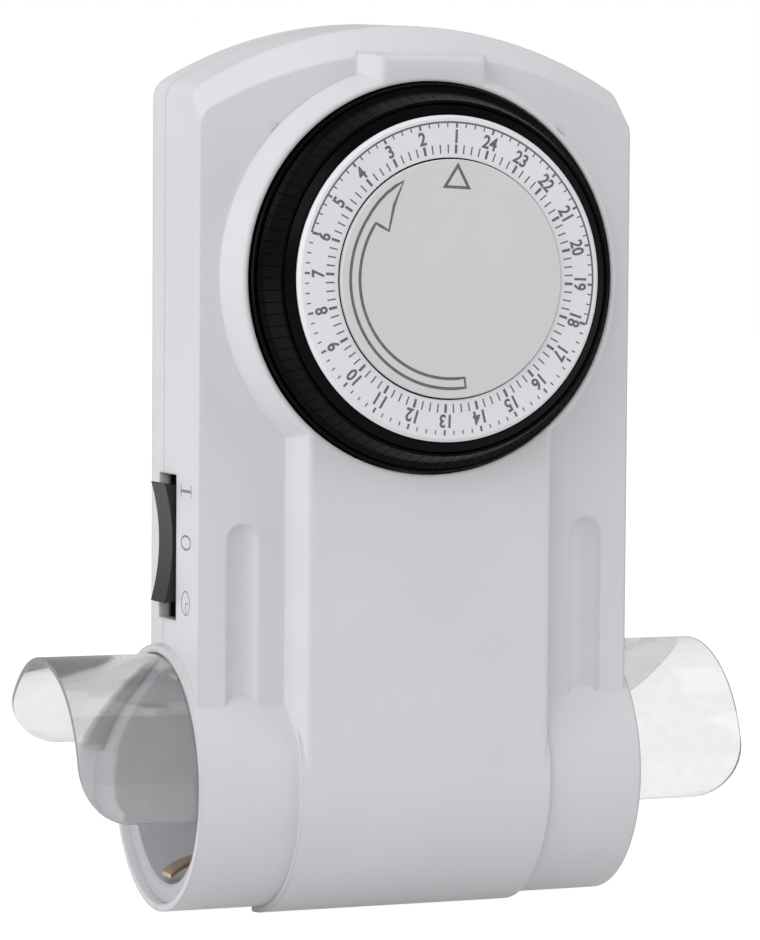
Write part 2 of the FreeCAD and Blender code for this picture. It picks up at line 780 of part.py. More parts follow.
# A tooth's root, flank and tip: height over the pitch circle in modules, half width in pitches
TOOTH_LEVELS = ((-1.15, 0.34), (0.0, 0.19), (0.85, 0.09))


def gear_outline(teeth, turn, y):
    """Closed outline of a spur gear about the Y axis, one tooth centred on the angle turn."""
    module = size("tooth_module")
    pitch = teeth * module / 2
    levels = [(pitch + rise * module, share) for rise, share in TOOTH_LEVELS]
    step = 2 * math.pi / teeth
    spots = []
    for tooth in range(teeth):
        centre = turn + tooth * step
        for radius, share in levels:
            spots.append((radius, centre - share * step))
        for radius, share in reversed(levels):
            spots.append((radius, centre + share * step))
    corners = [
        Vector(radius * math.cos(angle), y, radius * math.sin(angle))
        for radius, angle in spots
    ]
    return Part.makePolygon(corners + corners[:1])


def gear(teeth, turn, front, thick, centre, hole):
    """A flat spur gear with a round hole."""
    y = size(front)
    blank = Part.Face(gear_outline(teeth, turn, y)).extrude(Vector(0, size(thick), 0))
    bore = Part.makeCylinder(size(hole), size(thick) + 2, Vector(0, y - 1, 0), Vector(0, 1, 0))
    shape = blank.cut(bore) if size(hole) > 0 else blank
    shape.translate(Vector(centre[0], 0, centre[1]))
    return shape


def train_places():
    """Centres of the idler and the motor shaft, and the angles of the two lines of centres."""
    module = size("tooth_module")
    first = math.radians(size("idler_angle"))
    second = math.radians(size("motor_angle"))
    reach = (size("dial_teeth") + size("pinion_teeth")) * module / 2 + size("mesh_clearance")
    span = (size("wheel_teeth") + size("pinion_teeth")) * module / 2 + size("mesh_clearance")
    idler = (reach * math.cos(first), reach * math.sin(first))
    motor = (idler[0] + span * math.cos(second), idler[1] + span * math.sin(second))
    return idler, motor, first, second


def gear_train():
    """Ring gear on the dial, idler with pinion and wheel, and the motor's pinion with its shaft."""
    idler, motor, first, second = train_places()
    pinion, wheel = int(size("pinion_teeth")), int(size("wheel_teeth"))
    half_pinion = math.pi / pinion
    ring = feature("dial_gear_ring", gear(int(size("dial_teeth")), first, DIAL_BACK,
                                          "dial_gear_thick", (0, 0), "dial_gear_hole"))
    pinion_front = f"({DIAL_BACK} + layer_gap)"
    wheel_front = f"({GEAR_BACK} + layer_gap)"
    small = gear(pinion, first + math.pi + half_pinion, pinion_front, "dial_gear_thick", idler,
                 "arbor_radius + post_clearance")
    large = gear(wheel, second, wheel_front, "wheel_thick", idler, "arbor_radius + post_clearance")
    idler_gear = feature("idler_gear", small.fuse(large).removeSplitter())
    arbor_start = size(pinion_front)
    arbor = Part.makeCylinder(size("arbor_radius"), size(PLATE_BACK) - arbor_start,
                              Vector(idler[0], arbor_start, idler[1]), Vector(0, 1, 0))
    collar_thick = size("arbor_collar_thick")
    collar = Part.makeCylinder(size("arbor_collar_radius"), collar_thick,
                               Vector(idler[0], size(PLATE) - collar_thick, idler[1]), Vector(0, 1, 0))
    idler_arbor = feature("idler_arbor", arbor.fuse(collar))
    drive = gear(pinion, second + math.pi + half_pinion, wheel_front, "wheel_thick", motor, "0")
    shaft_start = size(wheel_front)
    shaft = Part.makeCylinder(size("shaft_radius"), size(PLATE_BACK) + size("shaft_entry") - shaft_start,
                              Vector(motor[0], shaft_start, motor[1]), Vector(0, 1, 0))
    motor_pinion = feature("motor_pinion", drive.fuse(shaft).removeSplitter())
    return ring, idler_gear, idler_arbor, motor_pinion


def dial_parts():
    """Dial body with its segment slots, printed number ring, fixed centre disc and its post."""
    front = PLATEAU
    body = turned("dial_cup", "Y", ("0", "0", "0"), [
        ("post_radius + post_clearance", DIAL_PLATE),
        ("core_radius - core_wall", DIAL_PLATE),
        ("core_radius - core_wall", f"{front} - number_rise + number_thick + shelf_thick"),
        ("number_hole", f"{front} - number_rise + number_thick + shelf_thick"),
        ("number_hole", f"{front} - number_rise + number_thick"),
        ("number_radius + 0.4", f"{front} - number_rise + number_thick"),
        ("core_radius", f"{front} - segment_rise"),
        ("core_radius", DIAL_PLATE),
        ("dial_radius - dial_rim_wall", DIAL_PLATE),
        ("dial_radius - dial_rim_wall", f"{front} - dial_rim_rise"),
        ("dial_radius - 0.2", f"{front} - dial_rim_rise"),
        ("dial_radius", f"{front} - dial_rim_rise + 0.3"),
        ("dial_radius", DIAL_BACK),
        ("hub_radius", DIAL_BACK),
        ("hub_radius", f"{DIAL_PLATE} + hub_length"),
        ("post_radius + post_clearance", f"{DIAL_PLATE} + hub_length"),
    ])
    slots = []
    group_angle = 360.0 / size("segment_count") * size("segment_group")
    web = 360.0 / size("segment_count") * size("segment_web")
    thick = size("dial_plate_thick") + 2
    y = size(DIAL_PLATE) - 1
    play = size("segment_leg_gap")
    inner, outer = size("segment_leg_inner") - play, size("segment_leg_outer") + play
    for group in range(round(360.0 / group_angle)):
        places = ((inner, y), (outer, y), (outer, y + thick), (inner, y + thick))
        corners = [Vector(radius, level, 0) for radius, level in places]
        face = Part.Face(Part.makePolygon(corners + corners[:1]))
        face.rotate(Vector(), Vector(0, 1, 0), -(group * group_angle + web))
        slots.append(face.revolve(Vector(), Vector(0, 1, 0), -(group_angle - 2 * web)))
    dial_body = cut("dial_body", body, ring_of("segment_slots", slots))

    number_ring = turned("number_ring", "Y", ("0", "0", "0"), [
        ("number_hole", f"{front} - number_rise"),
        ("number_radius - number_bevel", f"{front} - number_rise"),
        ("number_radius", f"{front} - number_rise + number_bevel"),
        ("number_radius", f"{front} - number_rise + number_thick"),
        ("number_hole", f"{front} - number_rise + number_thick"),
    ])
    centre_disc = turned("centre_disc", "Y", ("0", "0", "0"), [
        ("0.001", f"{front} - disc_rise"),
        ("disc_radius - 0.2", f"{front} - disc_rise"),
        ("disc_radius", f"{front} - disc_rise + 0.2"),
        ("disc_radius", f"{front} - disc_rise + disc_thick"),
        ("post_radius + 2", f"{front} - disc_rise + disc_thick"),
        ("post_radius + 2", f"{front} - disc_rise + 3 * disc_thick + 1"),
        ("post_radius", f"{front} - disc_rise + 3 * disc_thick + 1"),
        ("post_radius", f"{front} - disc_rise + 1.5 * disc_thick"),
        ("0.001", f"{front} - disc_rise + 1.5 * disc_thick"),
    ])
    post = turned("dial_post", "Y", ("0", "0", "0"), [
        ("0.001", f"{front} - disc_rise + 1.5 * disc_thick"),
        ("post_radius", f"{front} - disc_rise + 1.5 * disc_thick"),
        ("post_radius", f"{DIAL_PLATE} + hub_length + 0.1"),
        ("post_shoulder", f"{DIAL_PLATE} + hub_length + 0.1"),
        ("post_shoulder", PLATE),
        ("post_radius", PLATE),
        ("post_radius", PLATE_BACK),
        ("0.001", PLATE_BACK),
    ])
    return dial_body, number_ring, centre_disc, post


def segments():
    """The 96 quarter-hour segments, in eight groups of three hours, each segment a solid of its own."""
    front = size(PLATEAU)
    step = 360.0 / size("segment_count")
    back = front + size("segment_depth")
    leg_end = size(DIAL_BACK)
    head = [
        (size("segment_inner"), back), (size("segment_inner"), front - size("segment_rise")),
        (size("segment_inner + segment_crest"), front - size("segment_rise")),
        (size("segment_leg_outer"), front - size("segment_step_rise")),
        (size("segment_outer"), front - size("segment_edge_rise")), (size("segment_outer"), back),
    ]
    leg_inner, leg_outer = size("segment_leg_inner"), size("segment_leg_outer")
    leg_start = back - size("segment_leg_root")
    leg = [(leg_inner, leg_start), (leg_outer, leg_start), (leg_outer, leg_end), (leg_inner, leg_end)]

    def swept(outline, start, sweep):
        corners = [Vector(radius, y, 0) for radius, y in outline]
        face = Part.Face(Part.makePolygon(corners + corners[:1]))
        face.rotate(Vector(), Vector(0, 1, 0), -start)
        return face.revolve(Vector(), Vector(0, 1, 0), -sweep)

    gap = size("segment_gap_angle")
    group_size = int(size("segment_group"))
    groups = []
    for group in range(round(size("segment_count") / group_size)):
        solids = []
        for member in range(group_size):
            start = (group * group_size + member) * step
            top = swept(head, start + gap / 2, step - gap)
            solids.append(top.fuse(swept(leg, start + step / 4, step / 2)))
        groups.append(ring_of(f"segments_{group + 1:02d}", solids))
    return groups


def mechanism_plate():
    """The plate behind the dial that carries post, arbor, motor, lever ears and microswitch."""
    idler, motor, _, _ = train_places()
    upper = block("plate_upper", ("-plate_half", PLATE, "-plate_shoulder"),
                  ("2 * plate_half", "plate_thick", "plate_top + plate_shoulder"))
    lower = block("plate_lower", ("-plate_waist", PLATE, "-plate_foot"),
                  ("2 * plate_waist", "plate_thick", "plate_foot"))
    ears = []
    ear_front = f"{PLATEAU} + lever_pivot_depth - lever_boss_radius"
    for side, sign in SIDES:
        low = f"-lever_x + {sign} * (lever_width / 2 + lever_play + lever_ear / 2) - lever_ear / 2"
        ears.append(block(f"lever_ear_block_{side}",
                          (low, ear_front, "-lever_pivot_z - lever_boss_radius"),
                          ("lever_ear", f"{PLATE} - ({ear_front})", "2 * lever_boss_radius")))
    slot_end = "lever_slot_margin"
    holes = [
        rod("post_hole", "Y", ("0", f"{PLATE} - 1", "0"), "post_radius", "plate_thick + 2"),
        block("lever_slot",
              ("-lever_x - lever_width / 2 - 2 * lever_play", f"{PLATE} - 1",
               f"-lever_pivot_z - {slot_end}"),
              ("lever_width + 4 * lever_play", "plate_thick + 2",
               f"lever_pivot_z - segment_leg_inner + 2 * {slot_end}")),
        rod("lever_pin_hole", "X",
            ("-lever_x - 2 * lever_width", f"{PLATEAU} + lever_pivot_depth", "-lever_pivot_z"),
            "lever_pin_radius", "4 * lever_width"),
    ]
    for label, x, z in PLATE_SCREW_PLACES:
        holes.append(rod(f"plate_hole_{label}", "Y", (x, f"{PLATE} - 1", z),
                         "plate_screw_radius + screw_clearance", "plate_thick + 2"))
    for label, centre, radius in (("arbor", idler, size("arbor_radius")),
                                  ("shaft", motor, size("shaft_radius + shaft_room"))):
        start = Vector(centre[0], size(PLATE) - 1, centre[1])
        way = Part.makeCylinder(radius, size("plate_thick") + 2, start, Vector(0, 1, 0))
        holes.append(feature(f"{label}_hole", way))
    return cut("mechanism_plate", fuse("plate_solid", upper, lower, *ears), *holes)


def plate_screws():
    """Four small screws that hold the mechanism plate to the front shell."""
    radius, length = size("plate_screw_radius"), size("plate_screw_length")
    solids = []
    for _, x, z in PLATE_SCREW_PLACES:
        seat = Vector(size(x), size(PLATE_BACK), size(z))
        shank = Part.makeCylinder(radius, length, seat, Vector(0, -1, 0))
        head = Part.makeCylinder(2 * radius, size("plate_screw_head"), seat, Vector(0, 1, 0))
        solids.append(shank.fuse(head))
    return ring_of("plate_screws", solids)


def motor_can():
    """Flat round synchronous motor with its two fixing lugs."""
    _, motor, _, _ = train_places()
    back, length = size(PLATE_BACK), size("motor_length")
    lug_half, lug_high = size("motor_lug_half"), size("motor_lug_height")
    centre = Vector(motor[0], back, motor[1])
    can = Part.makeCylinder(size("motor_radius"), length, centre, Vector(0, 1, 0))
    lug = Part.makeBox(2 * lug_half, size("motor_lug_thick"), lug_high,
                       centre + Vector(-lug_half, 0, -lug_high / 2))
    bore = Part.makeCylinder(size("shaft_radius + shaft_play"), size("shaft_entry") + 0.4,
                             centre, Vector(0, 1, 0))
    solid = can.fuse(lug)

    def on_back(edge):
        return edge.BoundBox.YMin > back + length - 0.01

    rim = [edge for edge in solid.Edges if on_back(edge)]
    return feature("motor", solid.makeFillet(size("motor_edge"), rim).cut(bore))


def lever_parts():
    """Trip lever under the segments' legs, its pin, and the microswitch with its plunger."""
    x, width = -size("lever_x"), size("lever_width")
    along, rearward = Vector(1, 0, 0), Vector(0, 1, 0)
    pivot = Vector(x, size(PLATEAU) + size("lever_pivot_depth"), -size("lever_pivot_z"))
    thick = size("lever_thick")
    boss = Part.makeCylinder(size("lever_boss_radius"), width, pivot - along * (width / 2), along)
    reach = size("lever_pivot_z - segment_leg_inner + lever_over_reach")
    arm = Part.makeBox(width, thick, reach, Vector(x - width / 2, pivot.y - thick / 2, pivot.z))
    nose_tip = size(DIAL_BACK) + size("segment_travel + segment_leg_gap")
    nose_low = -size("segment_leg_outer + lever_nose_overlap")
    nose = Part.makeBox(width, pivot.y - nose_tip, size("lever_nose_height"),
                        Vector(x - width / 2, nose_tip, nose_low))
    pin_way = Part.makeCylinder(size("lever_pin_radius + pin_clearance"), width + 2,
                                pivot - along * (width / 2 + 1), along)
    lever = feature("trip_lever", boss.fuse([arm, nose]).removeSplitter().cut(pin_way))
    span = width + 2 * size("lever_play + lever_ear")
    pin_body = Part.makeCylinder(size("lever_pin_radius"), span, pivot - along * (span / 2), along)
    pin = feature("lever_pin", pin_body)

    back = size(PLATE_BACK)
    wide, high, deep = size("micro_width"), size("micro_height"), size("micro_length")
    low = Vector(x - wide / 2, back, -size("plunger_z") - high * size("micro_share"))
    case = Part.makeBox(wide, deep, high, low)
    tip = Vector(x, pivot.y + thick / 2 + size("plunger_gap"), -size("plunger_z"))
    well_end = back + size("plunger_well")
    well = Part.makeCylinder(size("plunger_radius + plunger_play"), well_end - tip.y, tip, rearward)
    micro = feature("microswitch", case.cut(well))
    length = well_end - size("plunger_free") - tip.y
    plunger = feature("microswitch_plunger",
                      Part.makeCylinder(size("plunger_radius"), length, tip, rearward))
    return lever, pin, micro, plunger


def rocker_parts():
    """Three-position rocker with a dished face, and the switch body that carries its trunnions."""
    wide, half = size("rocker_width"), size("rocker_half")
    y = size(SPLIT) - size("rocker_forward")
    face_x = -size("half_width") - size("rocker_proud")
    pivot_x = -size("half_width") + size("rocker_pivot_depth")
    z = size("rocker_lift - rocker_place")

    def at(x, up):
        return Vector(x, y - wide / 2, z + up)

    dish, keel = size("rocker_dish"), size("rocker_keel")
    skirt_x, skirt_half = pivot_x - size("rocker_skirt"), half - size("rocker_draft")
    chin_x = pivot_x + size("rocker_chin")
    face_arc = Part.Arc(at(face_x, -half), at(face_x + dish, 0), at(face_x, half)).toShape()
    lines = [
        at(face_x, half), at(skirt_x, skirt_half), at(chin_x, keel), at(pivot_x + keel, 0),
        at(chin_x, -keel), at(skirt_x, -skirt_half), at(face_x, -half),
    ]
    edges = [face_arc] + [Part.makeLine(lines[k], lines[k + 1]) for k in range(len(lines) - 1)]
    solid = Part.Face(Part.Wire(edges)).extrude(Vector(0, wide, 0))
    pin_span = wide + 2 * size("rocker_pin_length")
    pin = Part.makeCylinder(size("rocker_pin_radius"), pin_span,
                            Vector(pivot_x, y - pin_span / 2, z), Vector(0, 1, 0))
    rocker = feature("rocker", solid.fuse(pin).removeSplitter())

    slot_wide, slot_high = size("rocker_slot_wide"), size("rocker_slot_high")
    slot_low, slot_front = -size("rocker_place") - slot_high / 2, y - slot_wide / 2
    inner = -size("half_width") + size("wall")
    case_wall = size("rocker_body_wall")
    deep = size("rocker_body_depth")
    case = Part.makeBox(deep, slot_wide + 2 * case_wall, slot_high + 2 * case_wall,
                        Vector(inner, slot_front - case_wall, slot_low - case_wall))
    room = Part.makeBox(deep + 1 - size("rocker_body_floor"), slot_wide, slot_high,
                        Vector(inner - 1, slot_front, slot_low))
    bearing_long = (slot_wide - wide) / 2 - size("rocker_cheek_play")
    bearing_half = size("rocker_bearing_half")
    bearing_deep = size("rocker_bearing_depth")
    lugs = []
    for start in (slot_front, slot_front + slot_wide - bearing_long):
        corner = Vector(inner + size("rocker_bearing_setback"), start, z - bearing_half)
        lugs.append(Part.makeBox(bearing_deep, bearing_long, 2 * bearing_half, corner))
    hole = Part.makeCylinder(size("rocker_pin_radius + pin_clearance"), pin_span + 0.4,
                             Vector(pivot_x, y - pin_span / 2 - 0.2, z), Vector(0, 1, 0))
    body = case.cut(room).fuse(lugs).cut(hole).removeSplitter()
    return rocker, feature("rocker_switch_body", body)


def socket_insert(side, sign):
    """Round socket cup with pin holes, contact block, mounting flange and hood-free saddle."""
    cup_outer = "recess_radius + cup_wall"
    mouth = "(barrel_half - insert_setback)"
    outline = [
        ("flange_place", "0.001"),
        ("flange_place", "flange_radius"),
        ("flange_place + flange_thick", "flange_radius"),
        ("flange_place + flange_thick", "core_block_radius"),
        (FLOOR_BACK_X, "core_block_radius"),
        (FLOOR_BACK_X, cup_outer),
        (mouth, cup_outer),
        (mouth, "recess_radius + recess_edge"),
        (f"{mouth} - recess_edge", "recess_radius"),
        (FLOOR_X, "recess_radius"),
        (FLOOR_X, "0.001"),
    ]
    cup = turned(f"{side}_cup", "X", ("0", SPLIT, BARREL_Z), outline)
    doc.recompute()
    shape = cup.Shape.copy()
    centre = Vector(0, size(SPLIT), size(BARREL_Z))
    along = Vector(1, 0, 0)
    start, end = size(FLOOR_BACK_X), size(mouth)
    free = 360 - 2 * size("hood_half_angle + saddle_gap_angle")
    ring = Part.makeCylinder(size("flange_radius"), end - start, centre + along * start, along, free)
    core = Part.makeCylinder(size(cup_outer) - 0.2, end - start + 2, centre + along * (start - 1), along)
    ring = ring.cut(core)
    probe = ring.Solids[0].CenterOfMass - centre
    now = math.degrees(math.atan2(probe.z, probe.y))
    goal = -90 + size("hood_tilt")
    ring.rotate(centre, along, goal - now)
    shape = shape.fuse(ring)
    reach = size(FLOOR_X) + 2
    for offset in (-1, 1):
        spot = centre + Vector(0, offset * size("socket_spacing") / 2, 0)
        room = size("sleeve_outer + sleeve_play")
        shape = shape.cut(Part.makeCylinder(size("socket_pin_hole"), reach, spot, along))
        shape = shape.cut(Part.makeCylinder(room, size(FLOOR_BACK_X), spot, along))
    wide = size("clip_width + 2 * clip_slot_play")
    inner, outer = size("clip_ring_inner - clip_ring_play"), size("clip_root + clip_slot_rise")
    for low in (inner, -outer):
        slot = Part.makeBox(reach, wide, outer - inner, centre + Vector(0, -wide / 2, low))
        shape = shape.cut(slot)
    if sign < 0:
        shape = shape.mirror(Vector(), along)
    return feature(f"{side}_socket_insert", shape)


def contact_sleeves(side, sign):
    """Two slit sprung sleeves that grip the pins of a plug."""
    centre = Vector(0, size(SPLIT), size(BARREL_Z))
    along = Vector(1, 0, 0)
    start, length = size("sleeve_end"), size(FLOOR_BACK_X) - size("sleeve_end")
    outer, gap = size("sleeve_outer"), size("sleeve_slit")
    solids = []
    for offset in (-1, 1):
        spot = centre + Vector(start, offset * size("socket_spacing") / 2, 0)
        tube = Part.makeCylinder(outer, length, spot, along)
        bore = Part.makeCylinder(size("sleeve_inner"), length, spot + along * size("sleeve_base"), along)
        slit = Part.makeBox(length, gap, 3 * outer,
                            spot + Vector(size("sleeve_slit_start"), -gap / 2, -1.5 * outer))
        solid = tube.cut(bore).cut(slit)
        if sign < 0:
            solid = solid.mirror(Vector(), Vector(1, 0, 0))
        solids.append(solid)
    return ring_of(f"{side}_contact_sleeves", solids)


def earth_clip(side, sign):
    """A bent earth clip: a ring behind the floor and two bowed prongs along the recess wall."""
    centre = Vector(0, size(SPLIT), size(BARREL_Z))
    along = Vector(1, 0, 0)
    thick, wide = size("clip_thick"), size("clip_width")
    root, nip, tip = size("clip_root"), size("clip_nip"), size("clip_tip")
    back = size(FLOOR_BACK_X) - size("clip_seat_play") - thick
    disc = Part.makeCylinder(root + thick / 2, thick, centre + along * back, along)
    middle = Part.makeCylinder(size("clip_ring_inner"), thick + 2, centre + along * (back - 1), along)
    floor, mouth = size(FLOOR_X), size("barrel_half - insert_setback")
    bend = floor + size("clip_bend")
    bow = floor + (mouth - floor) * size("clip_bow_share")
    ends = mouth - size("clip_end_margin")
    half = thick / 2

    def spot(x, radius):
        return Vector(x, 0, radius)

    solids = [disc.cut(middle)]
    for level in (-1, 1):
        curves = []
        for shift in (-half, half):
            curves.append(Part.makeLine(spot(back, root + shift), spot(bend, root + shift)))
            bowed = Part.Arc(spot(bend, root + shift), spot(bow, nip + shift), spot(ends, tip + shift))
            curves.append(bowed.toShape())
        curves.append(Part.makeLine(spot(ends, tip - half), spot(ends, tip + half)))
        curves.append(Part.makeLine(spot(back, root + half), spot(back, root - half)))
        face = Part.Face(Part.Wire(Part.__sortEdges__(curves)))
        prong = face.extrude(Vector(0, wide, 0))
        prong.translate(Vector(0, -wide / 2, 0))
        if level < 0:
            prong = prong.mirror(Vector(), Vector(0, 0, 1))
        prong.translate(centre)
        solids.append(prong)
    clip = solids[0].fuse(solids[1:])
    if sign < 0:
        clip = clip.mirror(Vector(), Vector(1, 0, 0))
    return feature(f"{side}_earth_clip", clip)


def hood(side, sign):
    """A clear half tube with large rounded outer corners, drawn out to its full reach."""
    start = "(barrel_half - hood_grip)"
    length = "(hood_reach + hood_grip)"
    outer = rod(f"{side}_hood_outer", "X", (start, "0", "0"), "hood_outer", length)
    inner = rod(f"{side}_hood_inner", "X", (f"{start} - 1", "0", "0"), "hood_outer - hood_wall",
                f"{length} + 2")
    tube = cut(f"{side}_hood_tube", outer, inner)
    corner = size("hood_corner")
    x0, x1 = size(start) - 1, size(f"{start} + {length}")
    reach = size("hood_outer") + 1
    z0 = size("hood_outer") * math.cos(math.radians(size("hood_half_angle")))
    z1 = reach

    def at(x, z):
        return Vector(x, -reach, z)

    bow = corner * math.sqrt(0.5)
    edges = [
        Part.makeLine(at(x0, z0), at(x1 - corner, z0)),
        Part.Arc(at(x1 - corner, z0), at(x1 - corner + bow, z0 + corner - bow),
                 at(x1, z0 + corner)).toShape(),
        Part.makeLine(at(x1, z0 + corner), at(x1, z1)),
        Part.makeLine(at(x1, z1), at(x0, z1)),
        Part.makeLine(at(x0, z1), at(x0, z0)),
    ]
    gate = feature(f"{side}_hood_gate", Part.Face(Part.Wire(edges)).extrude(Vector(0, 2 * reach, 0)))
    doc.recompute()
    shape = tube.Shape.common(gate.Shape)
    shape.rotate(Vector(), Vector(1, 0, 0), size("hood_tilt"))
    if sign < 0:
        shape = shape.mirror(Vector(), Vector(1, 0, 0))
    shape.translate(Vector(0, size(SPLIT), size(BARREL_Z)))
    return feature(f"{side}_hood", shape)


def strips():
    """The punched brass strips between plug, switches and sockets."""
    thick, wide = size("strip_thick"), size("strip_width")
    half = wide / 2
    split, foot = size(SPLIT), -size("barrel_drop")
    spacing = size("socket_spacing") / 2
    reach = size("sleeve_end - strip_seat_play")
    pin_x = size("plug_pin_spacing") / 2
    root = -size("plug_face_thick + plug_pin_root")
    back = split + size("strip_back")
    pad_low, pad_high = foot - size("strip_pad_half"), foot + size("strip_pad_half")

    def slab(x0, x1, y0, y1, z0, z1):
        return Part.makeBox(x1 - x0, y1 - y0, z1 - z0, Vector(x0, y0, z0))

    def joined(name, pieces):
        return feature(name, pieces[0].fuse(pieces[1:]).removeSplitter())

    rear_lane, front_lane = split + spacing - thick / 2, split - spacing - thick / 2
    neutral = joined("neutral_strip", [
        slab(-reach, reach, rear_lane, rear_lane + thick, pad_low, pad_high),
        slab(reach - half, reach, back, rear_lane + thick, pad_low, pad_high),
        slab(reach - half, reach + half, back, back + thick, pad_low, half),
        slab(pin_x - thick / 2, pin_x + thick / 2, back, root, -half, half),
    ])
    micro_back = size(PLATE_BACK) + size("micro_length")
    live_x = -size("lever_x") - half
    live_low = -size("plunger_z + strip_tab_drop")
    live = joined("live_feed_strip", [
        slab(-pin_x - thick / 2, -pin_x + thick / 2, back, root, -half, half),
        slab(live_x, live_x + wide, back, back + thick, live_low, half),
        slab(live_x, live_x + wide, micro_back, back + thick, live_low, live_low + thick),
    ])
    lane = split - size("switched_lane")
    edge = -reach - size("switched_step")
    out_z = -size("plunger_z") - size("micro_height") * size("switched_share")
    switched = joined("switched_live_strip", [
        slab(-reach, reach, front_lane, front_lane + thick, pad_low, pad_high),
        slab(-reach, -reach + half, front_lane, lane + thick, pad_low, pad_high),
        slab(edge, -reach + half, lane, lane + thick, pad_low, out_z),
        slab(edge, -reach + half, micro_back, lane + thick, out_z - thick, out_z),
    ])
    clip_back = size(FLOOR_BACK_X) - size("clip_seat_play + clip_thick")
    bar_low = foot + size("clip_ring_inner + clip_thick / 2 + earth_bar_rise")
    bar_front, bar_back = split - size("earth_bar_front"), back - size("earth_bar_back")
    tail = root - thick
    drop = split + size("earth_lane")
    ring = size("plug_radius - earth_recess_depth + earth_strip_thick - strip_seat_play")
    earth = joined("earth_strip", [
        slab(-clip_back, clip_back, bar_front, bar_back, bar_low, bar_low + thick),
        slab(-half, half, drop, drop + thick, bar_low, thick / 2),
        slab(-half, half, drop, root, -thick / 2, thick / 2),
        slab(-half, half, tail, root, -ring, ring),
    ])
    links = []
    case_x = -size("half_width") + size("wall") + size("rocker_body_depth")
    end_x = -size("lever_x") - size("micro_width") / 2 + size("link_overlap")
    y = micro_back + size("link_lane")
    link_half = size("link_width") / 2
    for number in (0, 1):
        z = -size("rocker_place") + size("link_top") - size("link_pitch") * number
        run = slab(case_x, end_x, y, y + thick, z - link_half, z + link_half)
        foot_piece = slab(end_x - thick, end_x, micro_back, y + thick, z - link_half, z + link_half)
        links.append(run.fuse(foot_piece).removeSplitter())
    return neutral, live, switched, earth, ring_of("rocker_links", links)


def build():
    """Make every piece, in the order that they would be laid out on a bench."""
    pieces = []
    pieces += shells()
    pieces += [housing_screws()]
    pieces += plug_parts()
    pieces += dial_parts()
    pieces += segments()
    pieces += gear_train()
    pieces += [mechanism_plate(), plate_screws(), motor_can()]
    pieces += lever_parts()
    pieces += rocker_parts()
    for side, sign in SIDES:
        pieces += [socket_insert(side, sign), contact_sleeves(side, sign)]
        pieces += [earth_clip(side, sign), hood(side, sign)]
    pieces += strips()
    return pieces


pieces = build()
doc.recompute()

failed = [thing.Name for thing in doc.Objects if set(thing.State) & {"Invalid", "Error"}]
if failed:
    raise RuntimeError("these did not build: " + ", ".join(failed))
for piece in pieces:
    piece.Label = piece.Name
    if piece.Shape.isNull() or not piece.Shape.isValid():
        raise RuntimeError(piece.Label + " has no valid shape")

os.makedirs("parts", exist_ok=True)
for piece in pieces:
    piece.Shape.exportStep(f"parts/{piece.Label}.step")
print(len(pieces), "pieces")
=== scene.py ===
"""The plug in timer switch as it stands for its portrait.

Every solid gets the finish of its material, the clear hoods get rounded edges, and the dial and
the wall beside the rocker get their print.
"""

import json
import math

import bpy
from mathutils import Matrix, Vector


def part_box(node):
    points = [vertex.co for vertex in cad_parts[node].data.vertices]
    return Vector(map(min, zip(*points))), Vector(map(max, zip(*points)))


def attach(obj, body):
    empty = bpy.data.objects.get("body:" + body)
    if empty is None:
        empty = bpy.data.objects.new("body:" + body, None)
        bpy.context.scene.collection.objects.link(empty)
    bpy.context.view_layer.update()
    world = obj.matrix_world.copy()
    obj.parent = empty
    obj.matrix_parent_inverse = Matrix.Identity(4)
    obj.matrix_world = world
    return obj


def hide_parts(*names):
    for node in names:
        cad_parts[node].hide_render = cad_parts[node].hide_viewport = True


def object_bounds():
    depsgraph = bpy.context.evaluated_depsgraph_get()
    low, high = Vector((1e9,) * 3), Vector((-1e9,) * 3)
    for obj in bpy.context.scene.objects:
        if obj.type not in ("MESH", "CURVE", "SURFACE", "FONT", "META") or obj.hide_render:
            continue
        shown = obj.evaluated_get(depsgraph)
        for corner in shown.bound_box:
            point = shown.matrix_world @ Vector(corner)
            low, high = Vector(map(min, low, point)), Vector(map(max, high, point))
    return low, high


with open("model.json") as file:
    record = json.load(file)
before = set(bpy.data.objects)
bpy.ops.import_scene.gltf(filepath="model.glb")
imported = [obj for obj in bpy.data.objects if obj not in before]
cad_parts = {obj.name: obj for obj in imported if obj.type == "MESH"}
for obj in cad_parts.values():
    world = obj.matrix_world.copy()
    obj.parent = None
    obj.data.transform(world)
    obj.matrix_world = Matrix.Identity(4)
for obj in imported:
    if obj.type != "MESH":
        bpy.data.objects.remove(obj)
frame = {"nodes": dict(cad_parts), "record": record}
cad_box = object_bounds()
MM = 0.001

# sockets of a Mix node that mixes colours
MIX_FACTOR, MIX_FIRST, MIX_SECOND, MIX_RESULT = 0, 6, 7, 2


# ---- finishes ------------------------------------------------------------------------------


class Wire:
    """One value or colour that runs through a finish; sums on it add their Math nodes."""

    def __init__(self, nodes, socket):
        self.nodes = nodes
        self.socket = socket

    def math(self, operation, first, second):
        return self.nodes.node("ShaderNodeMath", {"operation": operation}, {0: first, 1: second})

    def __add__(self, other):
        return self.math("ADD", self, other)

    __radd__ = __add__

    def __sub__(self, other):
        return self.math("SUBTRACT", self, other)

    def __rsub__(self, other):
        return self.math("SUBTRACT", other, self)

    def __mul__(self, other):
        return self.math("MULTIPLY", self, other)

    __rmul__ = __mul__

    def or_else(self, other):
        return self.math("MAXIMUM", self, other)


